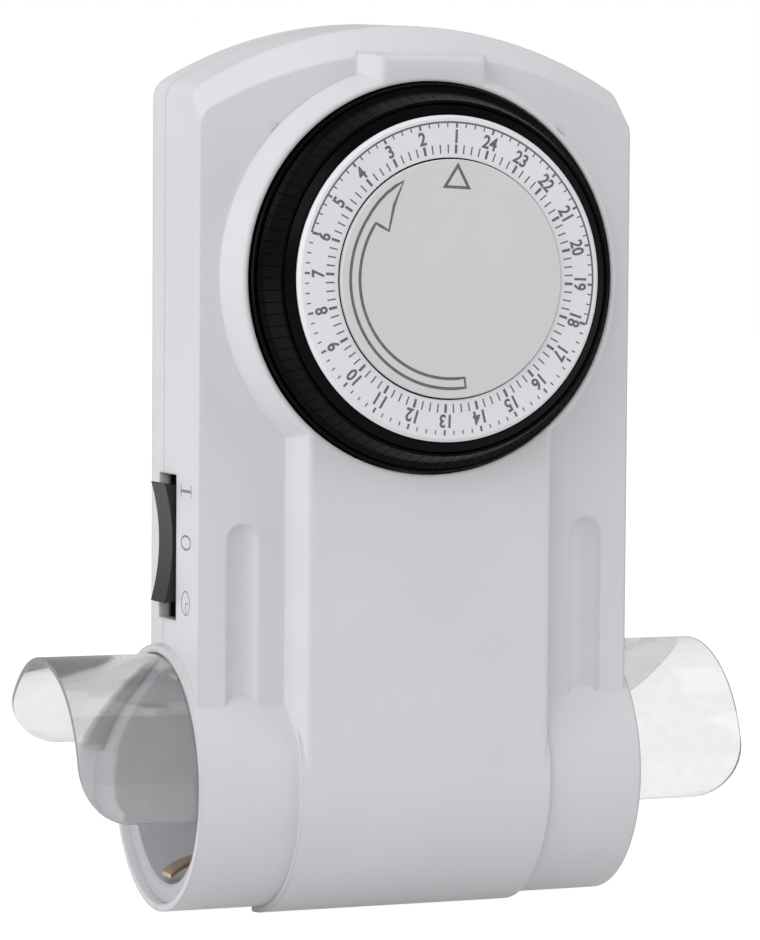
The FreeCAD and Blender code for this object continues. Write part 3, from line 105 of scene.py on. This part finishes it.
class Nodes:
    """The nodes of a finish or of the world."""

    def __init__(self, tree):
        self.tree = tree

    def feed(self, socket, value):
        if isinstance(value, Wire):
            self.tree.links.new(value.socket, socket)
        else:
            socket.default_value = value

    def node(self, kind, settings=None, values=None, out=0):
        made = self.tree.nodes.new(kind)
        for key, setting in (settings or {}).items():
            setattr(made, key, setting)
        for socket, value in (values or {}).items():
            self.feed(made.inputs[socket], value)
        return Wire(self, made.outputs[out])

    def seen_by(self, first, *others):
        """1 to the rays of these kinds, 0 to all others."""
        seen = self.node("ShaderNodeLightPath", out=first)
        for ray in others:
            seen = seen.or_else(self.node("ShaderNodeLightPath", out=ray))
        return seen


class Finish(Nodes):
    """A material built from nodes round one Principled shader."""

    def __init__(self, name, **fixed):
        self.material = bpy.data.materials.new(name)
        self.material.use_nodes = True
        super().__init__(self.material.node_tree)
        self.shader = self.tree.nodes["Principled BSDF"]
        self.show(**fixed)

    def show(self, **values):
        for socket, value in values.items():
            self.feed(self.shader.inputs[socket.replace("_", " ")], value)

    def place(self, stretch=(1, 1, 1)):
        spot = self.node("ShaderNodeTexCoord", out="Object")
        if stretch == (1, 1, 1):
            return spot
        return self.node("ShaderNodeMapping", None, {"Vector": spot, "Scale": stretch})

    def noise(self, spot, scale, detail=2.0, roughness=0.5):
        values = {"Vector": spot, "Scale": scale, "Detail": detail, "Roughness": roughness}
        return self.node("ShaderNodeTexNoise", None, values)

    def between(self, factor, first, second):
        values = {MIX_FACTOR: factor, MIX_FIRST: first, MIX_SECOND: second}
        return self.node("ShaderNodeMix", {"data_type": "RGBA"}, values, MIX_RESULT)

    def spread(self, value, low, high):
        """0 at the low value and below, 1 at the high value and above."""
        values = {"Value": value, "From Min": low, "From Max": high}
        return self.node("ShaderNodeMapRange", None, values)

    def soft_edge(self, radius):
        return self.node("ShaderNodeBevel", {"samples": 4}, {"Radius": radius})

    def edge_mask(self, soft):
        """1 along the edges that the soft normal rounds, 0 on the flats."""
        true = self.node("ShaderNodeNewGeometry", out="True Normal")
        flat = self.node("ShaderNodeVectorMath", {"operation": "DOT_PRODUCT"},
                         {0: soft, 1: true}, "Value")
        return self.spread(1 - flat, 0.02, 0.25)

    def bump(self, height, strength, distance, soft=None):
        values = {"Height": height, "Strength": strength, "Distance": distance}
        if soft:
            values["Normal"] = soft
        return self.node("ShaderNodeBump", None, values)


def tint(red, green, blue, share=1.0):
    return (red * share, green * share, blue * share, 1.0)


def moulded_plastic(name, colour, roughness, edge, grain, highlight_lift=1.06, **fixed):
    """Moulded plastic: fine spark-eroded grain, faint clouding, and soft edges with a painted
    highlight.

    The edge is the radius in millimetres by which the finish softens edges, the grain the depth of
    its bump, and the highlight lift how much paler the painted highlight makes the edges.
    """
    finish = Finish(name, IOR=1.5, **fixed)
    spot = finish.place()
    cloud = finish.noise(spot, 45.0, 3.0)
    fine = finish.noise(spot, 2600.0, 2.0)
    soft = finish.soft_edge(edge * MM)
    # the soft edges, which get a painted highlight in colour and a little less roughness
    painted_highlight_edge = finish.edge_mask(soft)
    painted_edge_highlight = tint(*[min(part * highlight_lift, 1.0) for part in colour])
    body = finish.between(finish.spread(cloud, 0.3, 0.7),
                          tint(*colour, 0.975), tint(*colour, 1.015))
    finish.show(
        Base_Color=finish.between(painted_highlight_edge, body, painted_edge_highlight),
        Roughness=roughness + (cloud - 0.5) * 0.06 - painted_highlight_edge * 0.05,
        Normal=finish.bump(fine, grain, 0.02 * MM, soft),
    )
    return finish.material


def glossy_black(name):
    """Polished black plastic with hairline scratches, a little dust and a painted highlight along
    its edges.
    """
    finish = Finish(name, IOR=1.5, Specular_IOR_Level=0.06)
    spot = finish.place()
    dust = finish.noise(spot, 900.0, 3.0, 0.6)
    smear = finish.noise(spot, 70.0, 4.0)
    hair = finish.noise(finish.place((60, 2400, 60)), 1.0, 2.0)
    soft = finish.soft_edge(0.15 * MM)
    painted_highlight_edge = finish.edge_mask(soft)
    speck = finish.spread(dust, 0.66, 0.80)
    finish.show(
        # paler where dust specks lie, and along the edges with a painted highlight
        Base_Color=finish.between(speck * 0.25 + painted_highlight_edge * 0.2,
                                  tint(0.0006, 0.0006, 0.0007), tint(0.014, 0.014, 0.016)),
        Roughness=0.27 + (smear - 0.5) * 0.12 + speck * 0.15,
        Normal=finish.bump(hair, 0.05, 0.01 * MM, soft),
    )
    return finish.material


def grained_black(name):
    """Matt black plastic of the rocker with a leathery spark grain and a painted highlight on its
    edges.
    """
    finish = Finish(name, IOR=1.48, Specular_IOR_Level=0.4)
    spot = finish.place()
    grain = finish.noise(spot, 1500.0, 3.0, 0.6)
    cloud = finish.noise(spot, 120.0, 2.0)
    soft = finish.soft_edge(0.3 * MM)
    painted_highlight_edge = finish.edge_mask(soft)
    finish.show(
        # paler along the edges with a painted highlight; the cloud varies the tone at random
        Base_Color=finish.between(painted_highlight_edge * 0.5 + (cloud - 0.5) * 0.3,
                                  tint(0.014, 0.014, 0.014), tint(0.04, 0.04, 0.04)),
        Roughness=0.52 + (grain - 0.5) * 0.2,
        Normal=finish.bump(grain, 0.25, 0.03 * MM, soft),
    )
    return finish.material


def clear_plastic(name):
    """Clear hood plastic: polished, with a grey tint, partly the plastic's own light grey and
    partly painted shade for the dim surroundings it reflects, and the fine ripple of moulding.
    """
    finish = Finish(name, IOR=1.49, Transmission_Weight=0.92)
    spot = finish.place()
    ripple = finish.noise(finish.place((1.0, 0.4, 0.4)), 90.0, 2.0)
    haze = finish.noise(spot, 400.0, 3.0)
    finish.show(
        # grey tint: partly the plastic's own, partly painted shade; the haze varies it at random
        Base_Color=finish.between(finish.spread(haze, 0.3, 0.8),
                                  tint(0.83, 0.835, 0.84), tint(0.78, 0.785, 0.79)),
        Roughness=0.05 + finish.spread(haze, 0.55, 0.85) * 0.04,
        Normal=finish.bump(ripple, 0.06, 0.2 * MM),
    )
    return finish.material


def metal(name, colour, dull, roughness, brush, along=(1, 1, 1), edge=0.1):
    """Metal with fine drawn or rolled lines and duller patches; along stretches the lines."""
    finish = Finish(name, Metallic=1.0)
    lines = finish.noise(finish.place(along), brush, 3.0, 0.6)
    patch = finish.noise(finish.place(), 180.0, 4.0)
    soft = finish.soft_edge(edge * MM)
    finish.show(
        Base_Color=finish.between(finish.spread(patch, 0.35, 0.75), tint(*colour), tint(*dull)),
        Roughness=(roughness + (lines - 0.5) * 0.18
                   + finish.spread(patch, 0.4, 0.8) * 0.12),
        Normal=finish.bump(lines, 0.12, 0.02 * MM, soft),
    )
    return finish.material


def printing_ink(name, colour):
    """Printed ink, thin in places, with the slight gloss of pad printing."""
    finish = Finish(name, IOR=1.5)
    thin = finish.noise(finish.place(), 1300.0, 3.0)
    finish.show(
        Base_Color=finish.between(finish.spread(thin, 0.45, 0.8),
                                  tint(*colour), tint(*colour, 1.5)),
        Roughness=0.42 + (thin - 0.5) * 0.15,
        Normal=finish.bump(thin, 0.08, 0.01 * MM),
    )
    return finish.material


def studio_floor(name):
    """White floor that reads as the white background, and to the object is a plain pale one."""
    finish = Finish(name, Roughness=0.9, Specular_IOR_Level=0.1)
    seen = finish.seen_by("Is Camera Ray", "Is Glossy Ray", "Is Transmission Ray")
    finish.show(
        Base_Color=finish.between(seen, tint(0.8, 0.8, 0.8), tint(0.2, 0.2, 0.2)),
        Emission_Color=finish.between(seen * 0.97, tint(0, 0, 0), tint(1, 1, 1)),
        Emission_Strength=1.0,
    )
    return finish.material


HOUSING = moulded_plastic("housing_plastic_finish", (0.655, 0.66, 0.683), 0.44,
                          edge=1.0, grain=0.12)
RING = moulded_plastic("number_plastic_finish", (0.75, 0.745, 0.785), 0.40, edge=0.2, grain=0.05)
DISC = moulded_plastic("disc_plastic_finish", (0.64, 0.625, 0.635), 0.40, edge=0.12, grain=0.05)
# the socket plastic is the housing's white made darker: painted shade for the recesses it sits in
SOCKET = moulded_plastic("socket_plastic_finish", (0.50, 0.50, 0.525), 0.46, edge=0.3, grain=0.10)
PLUG = moulded_plastic("plug_plastic_finish", (0.58, 0.585, 0.62), 0.42, edge=0.3, grain=0.10)
NYLON = moulded_plastic("gear_plastic_finish", (0.80, 0.78, 0.70), 0.50, edge=0.08, grain=0.05)
# the switch case's edges get a strong painted highlight
CASE = moulded_plastic("switch_case_finish", (0.012, 0.012, 0.014), 0.55, edge=0.2, grain=0.15,
                       highlight_lift=1.6, Specular_IOR_Level=0.25)
BLACK = glossy_black("dial_black_finish")
ROCKER = grained_black("rocker_black_finish")
CLEAR = clear_plastic("clear_hood_finish")
BRASS = metal("brass_finish", (0.56, 0.45, 0.28), (0.33, 0.26, 0.16), 0.30, 1.0,
              along=(40, 2200, 40))
NICKEL = metal("nickel_finish", (0.66, 0.64, 0.60), (0.50, 0.48, 0.45), 0.24, 1.0,
               along=(2500, 60, 2500), edge=0.15)
STEEL = metal("steel_finish", (0.56, 0.56, 0.57), (0.42, 0.41, 0.41), 0.34, 900.0, edge=0.15)
INK = printing_ink("dial_ink_finish", (0.112, 0.112, 0.132))
WALL_INK = printing_ink("wall_ink_finish", (0.17, 0.18, 0.19))

SLOT_FINISH = {
    "housing_plastic": HOUSING, "dial_black": BLACK, "number_plastic": RING, "disc_plastic": DISC,
    "clear_hood": CLEAR, "rocker_black": ROCKER, "socket_grey": SOCKET, "plug_plastic": PLUG,
    "brass": BRASS, "nickel": NICKEL, "steel": STEEL, "gear_plastic": NYLON, "switch_case": CASE,
}


def dress_nodes():
    """Give every CAD node the finish of its material slot."""
    for part in frame["record"]["subparts"]:
        node = frame["nodes"][part["node"]]
        for holder in node.material_slots:
            holder.material = SLOT_FINISH[part["material_slot"]]


# ---- pieces made by hand ---------------------------------------------------------------------


def nothing_selected():
    bpy.ops.object.select_all(action="DESELECT")


def only(piece):
    nothing_selected()
    piece.select_set(True)
    bpy.context.view_layer.objects.active = piece


def settle(piece):
    """Put the piece's place and turn into its mesh."""
    only(piece)
    bpy.ops.object.transform_apply(location=True, rotation=True, scale=True)


def turned_by(piece, degrees):
    """Turn the piece about the dial's axis, clockwise as seen from the front."""
    only(piece)
    piece.rotation_euler = (0, math.radians(degrees), 0)
    bpy.ops.object.transform_apply(location=False, rotation=True, scale=False)
    return piece


def joined(name, pieces, finish):
    """Join the pieces to one and give it its name and finish."""
    nothing_selected()
    for piece in pieces:
        piece.select_set(True)
    bpy.context.view_layer.objects.active = pieces[0]
    if len(pieces) > 1:
        bpy.ops.object.join()
    whole = bpy.context.view_layer.objects.active
    whole.name = name
    whole.data.name = name
    whole.data.materials.clear()
    whole.data.materials.append(finish)
    return whole


def outward(piece):
    """Merge doubles and turn all faces outwards."""
    only(piece)
    bpy.ops.object.mode_set(mode="EDIT")
    bpy.ops.mesh.select_all(action="SELECT")
    bpy.ops.mesh.remove_doubles(threshold=1e-7)
    bpy.ops.mesh.normals_make_consistent(inside=False)
    bpy.ops.object.mode_set(mode="OBJECT")
    return piece


def bent_bar(inner, outer, low, high, clock, sweep, steps):
    """A printed bar round the dial's axis, from an angle clockwise from the top on by a sweep."""
    nothing_selected()
    bpy.ops.mesh.primitive_plane_add(size=1.0, location=((inner + outer) / 2, (low + high) / 2, 0))
    bar = bpy.context.active_object
    bpy.ops.object.mode_set(mode="EDIT")
    bpy.ops.mesh.select_all(action="SELECT")
    bpy.ops.transform.resize(value=(outer - inner, high - low, 1.0), center_override=bar.location)
    bpy.ops.object.mode_set(mode="OBJECT")
    settle(bar)
    bpy.ops.object.mode_set(mode="EDIT")
    bpy.ops.mesh.select_all(action="SELECT")
    bpy.ops.mesh.spin(steps=steps, angle=-math.radians(sweep), center=(0, 0, 0), axis=(0, 1, 0))
    bpy.ops.object.mode_set(mode="OBJECT")
    return turned_by(outward(bar), clock - 90)


def tick_row(inner, outer, width, surface, thick, angles):
    """Equal radial ticks: one is made, the rest are its copies, turned to their angles."""
    sweep = math.degrees(width / ((inner + outer) / 2))
    first = bent_bar(inner, outer, surface - thick, surface + thick, -sweep / 2, sweep, 1)
    row = []
    for angle in angles:
        only(first)
        bpy.ops.object.duplicate()
        row.append(turned_by(bpy.context.active_object, angle))
    bpy.data.objects.remove(first)
    return row


def figure(words, height, squeeze, thick):
    """Figures as a thin mesh that faces the front, centred on the dial's axis.

    Their strokes are set wider, and the mesh is then scaled to the height, so that the size of the
    type only has to be near it.
    """
    nothing_selected()
    bpy.ops.object.text_add(location=(0, 0, 0))
    text = bpy.context.active_object
    text.data.body = words
    text.data.align_x = "CENTER"
    text.data.align_y = "CENTER"
    text.data.size = height * TYPE_SIZE
    text.data.extrude = thick
    text.data.offset = STROKE_GAIN
    text.data.resolution_u = 4
    bpy.ops.object.convert(target="MESH")
    mesh = bpy.context.active_object
    corners = [vertex.co for vertex in mesh.data.vertices]
    low = Vector([min(corner[k] for corner in corners) for k in range(3)])
    high = Vector([max(corner[k] for corner in corners) for k in range(3)])
    tall = height / (high.y - low.y)
    middle = (low + high) / 2
    mesh.data.transform(Matrix.Rotation(math.radians(90), 4, "X")
                        @ Matrix.Diagonal((tall * squeeze, tall, 1.0, 1.0))
                        @ Matrix.Translation(-middle))
    return outward(mesh)


def drawn_line(points, width, surface, thick, closed):
    """A printed line through points given as (x, z), flattened to a low ridge on the surface.

    The ridge stands twice the print's thickness out of the surface.
    """
    curve = bpy.data.curves.new("line", "CURVE")
    curve.dimensions = "3D"
    curve.bevel_depth = width / 2
    curve.bevel_resolution = 1
    curve.use_fill_caps = True
    spline = curve.splines.new("POLY")
    spline.points.add(len(points) - 1)
    for spot, (x, z) in zip(spline.points, points):
        spot.co = (x, 0, z, 1)
    spline.use_cyclic_u = closed
    line = bpy.data.objects.new("line", curve)
    bpy.context.scene.collection.objects.link(line)
    only(line)
    bpy.ops.object.convert(target="MESH")
    line = bpy.context.active_object
    bpy.ops.object.mode_set(mode="EDIT")
    bpy.ops.mesh.select_all(action="SELECT")
    bpy.ops.transform.resize(value=(1, 4 * thick / width, 1), center_override=(0, 0, 0))
    bpy.ops.transform.translate(value=(0, surface, 0))
    bpy.ops.object.mode_set(mode="OBJECT")
    bpy.ops.object.shade_flat()
    return outward(line)


def polar(radius, clock):
    """(x, z) at a radius in millimetres and an angle clockwise from the top."""
    angle = math.radians(clock)
    return (radius * MM * math.sin(angle), radius * MM * math.cos(angle))


def oval(wide, tall):
    """Points (x, z) round an oval, given its half width and half height."""
    return [(wide * math.cos(math.radians(angle)), tall * math.sin(math.radians(angle)))
            for angle in range(0, 360, 10)]


# print: its thickness, the type's size for its height, and how far its strokes are widened
PRINT = 0.02 * MM
TYPE_SIZE = 1.4
STROKE_GAIN = 0.10 * MM
RING_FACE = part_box("number_ring")[0].y
DISC_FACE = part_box("centre_disc")[0].y

# the number ring's print: angles in degrees, sizes in metres
PRINT_TURN = 2.0
HOUR = 15.0
FIGURE_HEIGHT, FIGURE_SQUEEZE, FIGURE_RADIUS = 2.5 * MM, 0.86, 25.85 * MM
ARC_START, ARC_SWEEP, ARC_STEPS = -75.0, 180.0, 90
ARC_INNER, ARC_OUTER = 28.22 * MM, 28.56 * MM
END_MARGIN = 1.0

# rows of ticks: inner radius, outer radius, width
INNER_HOURS = (22.75 * MM, 24.35 * MM, 0.50 * MM)
INNER_QUARTERS = (22.75 * MM, 24.35 * MM, 0.26 * MM)
ARC_HOURS = (27.4 * MM, 28.2 * MM, 0.42 * MM)
ARC_QUARTERS = (27.5 * MM, 28.2 * MM, 0.24 * MM)
BARE_HOURS = (27.45 * MM, 28.45 * MM, 0.40 * MM)
BARE_QUARTERS = (27.6 * MM, 28.35 * MM, 0.24 * MM)
ARC_ENDS = (27.0 * MM, 28.2 * MM, 0.5 * MM)


def hour_angle(hour):
    """Where an hour stands on the dial: they run against the clock from 1 at the top."""
    return PRINT_TURN - (hour - 1) * HOUR


def ring_print():
    """Figures 1 to 24, two rows of ticks and the arc over the night half of the dial.

    The outer ticks hang from the arc where it runs, and stand free on the other half. At the arc's
    two ends its own end ticks stand in for those of the hours.
    """
    pieces = []
    for hour in range(1, 25):
        words = figure(str(hour), FIGURE_HEIGHT, FIGURE_SQUEEZE, PRINT)
        words.data.transform(Matrix.Translation((0, RING_FACE, FIGURE_RADIUS)))
        pieces.append(turned_by(words, hour_angle(hour)))

    hours = [hour_angle(hour) for hour in range(1, 25)]
    quarters = [angle + HOUR * step / 4 for angle in hours for step in (1, 2, 3)]
    arc_end = ARC_START + ARC_SWEEP
    under_arc, bare = [], []
    for angle in hours + quarters:
        swing = (angle - PRINT_TURN + 180 - HOUR / 2) % 360 - 180 + HOUR / 2
        if min(abs(swing - ARC_START), abs(swing - arc_end)) > END_MARGIN:
            (under_arc if ARC_START < swing < arc_end else bare).append(angle)
    rows = (
        (INNER_HOURS, hours),
        (INNER_QUARTERS, quarters),
        (ARC_HOURS, [angle for angle in under_arc if angle in hours]),
        (ARC_QUARTERS, [angle for angle in under_arc if angle not in hours]),
        (BARE_HOURS, [angle for angle in bare if angle in hours]),
        (BARE_QUARTERS, [angle for angle in bare if angle not in hours]),
    )
    for sizes, angles in rows:
        pieces += tick_row(*sizes, RING_FACE, PRINT, angles)

    start = PRINT_TURN + ARC_START
    pieces.append(bent_bar(ARC_INNER, ARC_OUTER, RING_FACE - PRINT, RING_FACE + PRINT,
                           start, ARC_SWEEP, ARC_STEPS))
    for clock in (start, start + ARC_SWEEP):
        pieces += tick_row(*ARC_ENDS, RING_FACE, PRINT, [clock])
    whole = joined("hour_print", pieces, INK)
    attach(whole, "dial")


def disc_print():
    """The pointer triangle and the long arrow that shows which way the dial turns.

    Radii are in millimetres and angles in degrees clockwise from the top. A line thins towards
    sharp corners, so the triangle's is wider than it prints.
    """
    lean, spread = 2.5, 8.0
    tip, foot = 20.6, 16.8
    triangle = [polar(tip, lean), polar(foot, lean + spread), polar(foot, lean - spread)]

    outer, inner = 19.9, 18.1
    tail, neck, step = 172.0, 304.0, 4.0
    steps = range(int((neck - tail) / step) + 1)
    outer_run = [polar(outer, tail + step * number) for number in steps]
    inner_run = [polar(inner, neck - step * number) for number in steps]
    head = [polar(radius, clock) for radius, clock in
            ((20.0, 308.0), (20.1, 314.0), (20.15, 320.0), (20.15, 326.0), (20.1, 331.0))]
    barb = [polar(17.6, 319.0), polar(15.2, 304.5), polar(17.0, 303.9), polar(inner, 303.6)]
    outline = outer_run + head + barb + inner_run[1:]

    pieces = [drawn_line(triangle, 1.25 * MM, DISC_FACE, PRINT, True),
              drawn_line(outline, 0.64 * MM, DISC_FACE, PRINT, True)]
    whole = joined("disc_arrows", pieces, INK)
    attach(whole, "housing")


def wall_marks():
    """On, off and timed marks on the left wall beside the rocker, lying on their sides."""
    wall, middle = -42.9 * MM, -55.75 * MM
    on_height, off_height, timed_height = -39.25 * MM, -48.7 * MM, -59.85 * MM
    bar_half, serif_half = 2.75 * MM, 1.15 * MM
    ring_half, ring_width, ring_tall = bar_half * 0.93, 0.46 * MM, 1.25 * MM
    clock_radius, hair = 2.2 * MM, 0.28 * MM

    def on_wall(piece, z):
        turn = Matrix.Rotation(math.radians(-90), 4, "Z")
        piece.data.transform(Matrix.Translation((wall, middle, z)) @ turn)
        return piece

    def line(points, width, closed=False):
        return drawn_line(points, width, 0, PRINT, closed)

    letter = [line([(-bar_half, 0), (bar_half, 0)], 0.62 * MM)]
    for end in (-bar_half, bar_half):
        letter.append(line([(end, -serif_half), (end, serif_half)], 0.35 * MM))
    marks = [on_wall(piece, on_height) for piece in letter]
    marks.append(on_wall(line(oval(ring_half, ring_tall), ring_width, True), off_height))
    rim = line(oval(clock_radius, clock_radius), 0.30 * MM, True)
    hands = [line([(0, 0), (1.5 * MM, 0)], hair),
             line([(0, 0.1 * MM), (0, -2.1 * MM)], hair)]
    marks += [on_wall(piece, timed_height) for piece in [rim] + hands]
    whole = joined("rocker_marks", marks, WALL_INK)
    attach(whole, "housing")


def clear_hood(side):
    """A hood with its edges rounded over, made from a copy of its plain solid."""
    node = frame["nodes"][f"{side}_hood"]
    hood = bpy.data.objects.new(f"{side}_clear_hood", node.data.copy())
    bpy.context.scene.collection.objects.link(hood)
    outward(hood)
    only(hood)
    rounding = hood.modifiers.new("rounding", "BEVEL")
    rounding.width = 0.25 * MM
    rounding.segments = 3
    rounding.limit_method = "ANGLE"
    rounding.angle_limit = math.radians(40)  # the rim's corners, not the facets of the arch
    bpy.ops.object.modifier_apply(modifier=rounding.name)
    bpy.ops.object.shade_smooth_by_angle(angle=math.radians(35))
    hood.data.materials.clear()
    hood.data.materials.append(CLEAR)
    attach(hood, f"{side}_cover")
    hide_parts(f"{side}_hood")


# ---- studio ----------------------------------------------------------------------------------


LAMP_AIM = Vector((0, -0.05, -0.03))
LAMPS = (
    # name, place, width and height in metres, power in watts
    ("key_lamp", (-0.95, -1.15, 0.75), 0.9, 0.9, 6.2),
    ("left_lamp", (-1.45, -0.25, 0.15), 1.0, 1.2, 10.5),
    ("side_lamp", (1.25, -0.75, 0.35), 0.8, 1.0, 4.0),
    ("top_lamp", (0.0, -0.25, 1.25), 0.9, 0.7, 3.6),
)
FLOOR_SIZE, FLOOR_GAP = 8.0, 0.02 * MM
WORLD_LIGHT, WORLD_SEEN = 0.50, 1.0


def pale_world(name):
    """A plain pale world that is white where it is seen, straight or through clear plastic."""
    world = bpy.data.worlds.new(name)
    world.use_nodes = True
    nodes = Nodes(world.node_tree)
    seen = nodes.seen_by("Is Camera Ray", "Is Transmission Ray")
    sky = nodes.tree.nodes["Background"]
    nodes.feed(sky.inputs["Color"], tint(1, 1, 1))
    nodes.feed(sky.inputs["Strength"], nodes.node(
        "ShaderNodeMapRange", None,
        {"Value": seen, "To Min": WORLD_LIGHT, "To Max": WORLD_SEEN}))
    return world


def studio():
    """Floor, world and soft lamps."""
    ground = cad_box[0].z - FLOOR_GAP
    nothing_selected()
    bpy.ops.mesh.primitive_plane_add(size=FLOOR_SIZE, location=(0, 0, ground))
    floor = bpy.context.active_object
    floor.name = "floor"
    settle(floor)
    floor.data.materials.append(studio_floor("floor_finish"))
    bpy.context.scene.world = pale_world("pale_world")
    for name, place, width, height, power in LAMPS:
        data = bpy.data.lights.new(name, "AREA")
        data.shape = "RECTANGLE"
        data.size, data.size_y = width, height
        data.energy = power
        light = bpy.data.objects.new(name, data)
        bpy.context.scene.collection.objects.link(light)
        light.location = place
        light.rotation_euler = (LAMP_AIM - Vector(place)).to_track_quat("-Z", "Y").to_euler()


PHOTO_HEIGHT = 940.0  # pixels, the frame's longer side, which the sensor's width covers
FOCAL_PIXELS = 4089.0
SENSOR = 36.0


def portrait_camera():
    """The camera at the photograph's angle: 22.2 degrees round to the left, 3.2 degrees down.

    The distance is measured from the middle of the dial's face, which lies a little right of the
    line of sight and above it.
    """
    turn, pitch, roll = math.radians(22.2), math.radians(-3.23), math.radians(0.416)
    dial_right, dial_up, distance = 9.12, 35.22, 751.4
    ahead = Vector((math.sin(turn) * math.cos(pitch),
                    math.cos(turn) * math.cos(pitch),
                    math.sin(pitch)))
    level = Vector((math.cos(turn), -math.sin(turn), 0))
    above = level.cross(ahead)
    right = level * math.cos(roll) + above * math.sin(roll)
    up = above * math.cos(roll) - level * math.sin(roll)
    dial_face = Vector((0, -68.0 * MM, 0))
    place = dial_face - (right * dial_right + up * dial_up + ahead * distance) * MM
    data = bpy.data.cameras.new("portrait_camera")
    data.lens = FOCAL_PIXELS * SENSOR / PHOTO_HEIGHT
    data.sensor_width = SENSOR
    data.clip_start, data.clip_end = 0.01, 20.0
    camera = bpy.data.objects.new("portrait_camera", data)
    bpy.context.scene.collection.objects.link(camera)
    basis = Matrix((right, up, -ahead)).transposed().to_4x4()
    camera.matrix_world = Matrix.Translation(place) @ basis
    bpy.context.scene.camera = camera


dress_nodes()
ring_print()
disc_print()
wall_marks()
for side in ("left", "right"):
    clear_hood(side)
studio()
portrait_camera()
bpy.context.scene.view_settings.view_transform = "Standard"
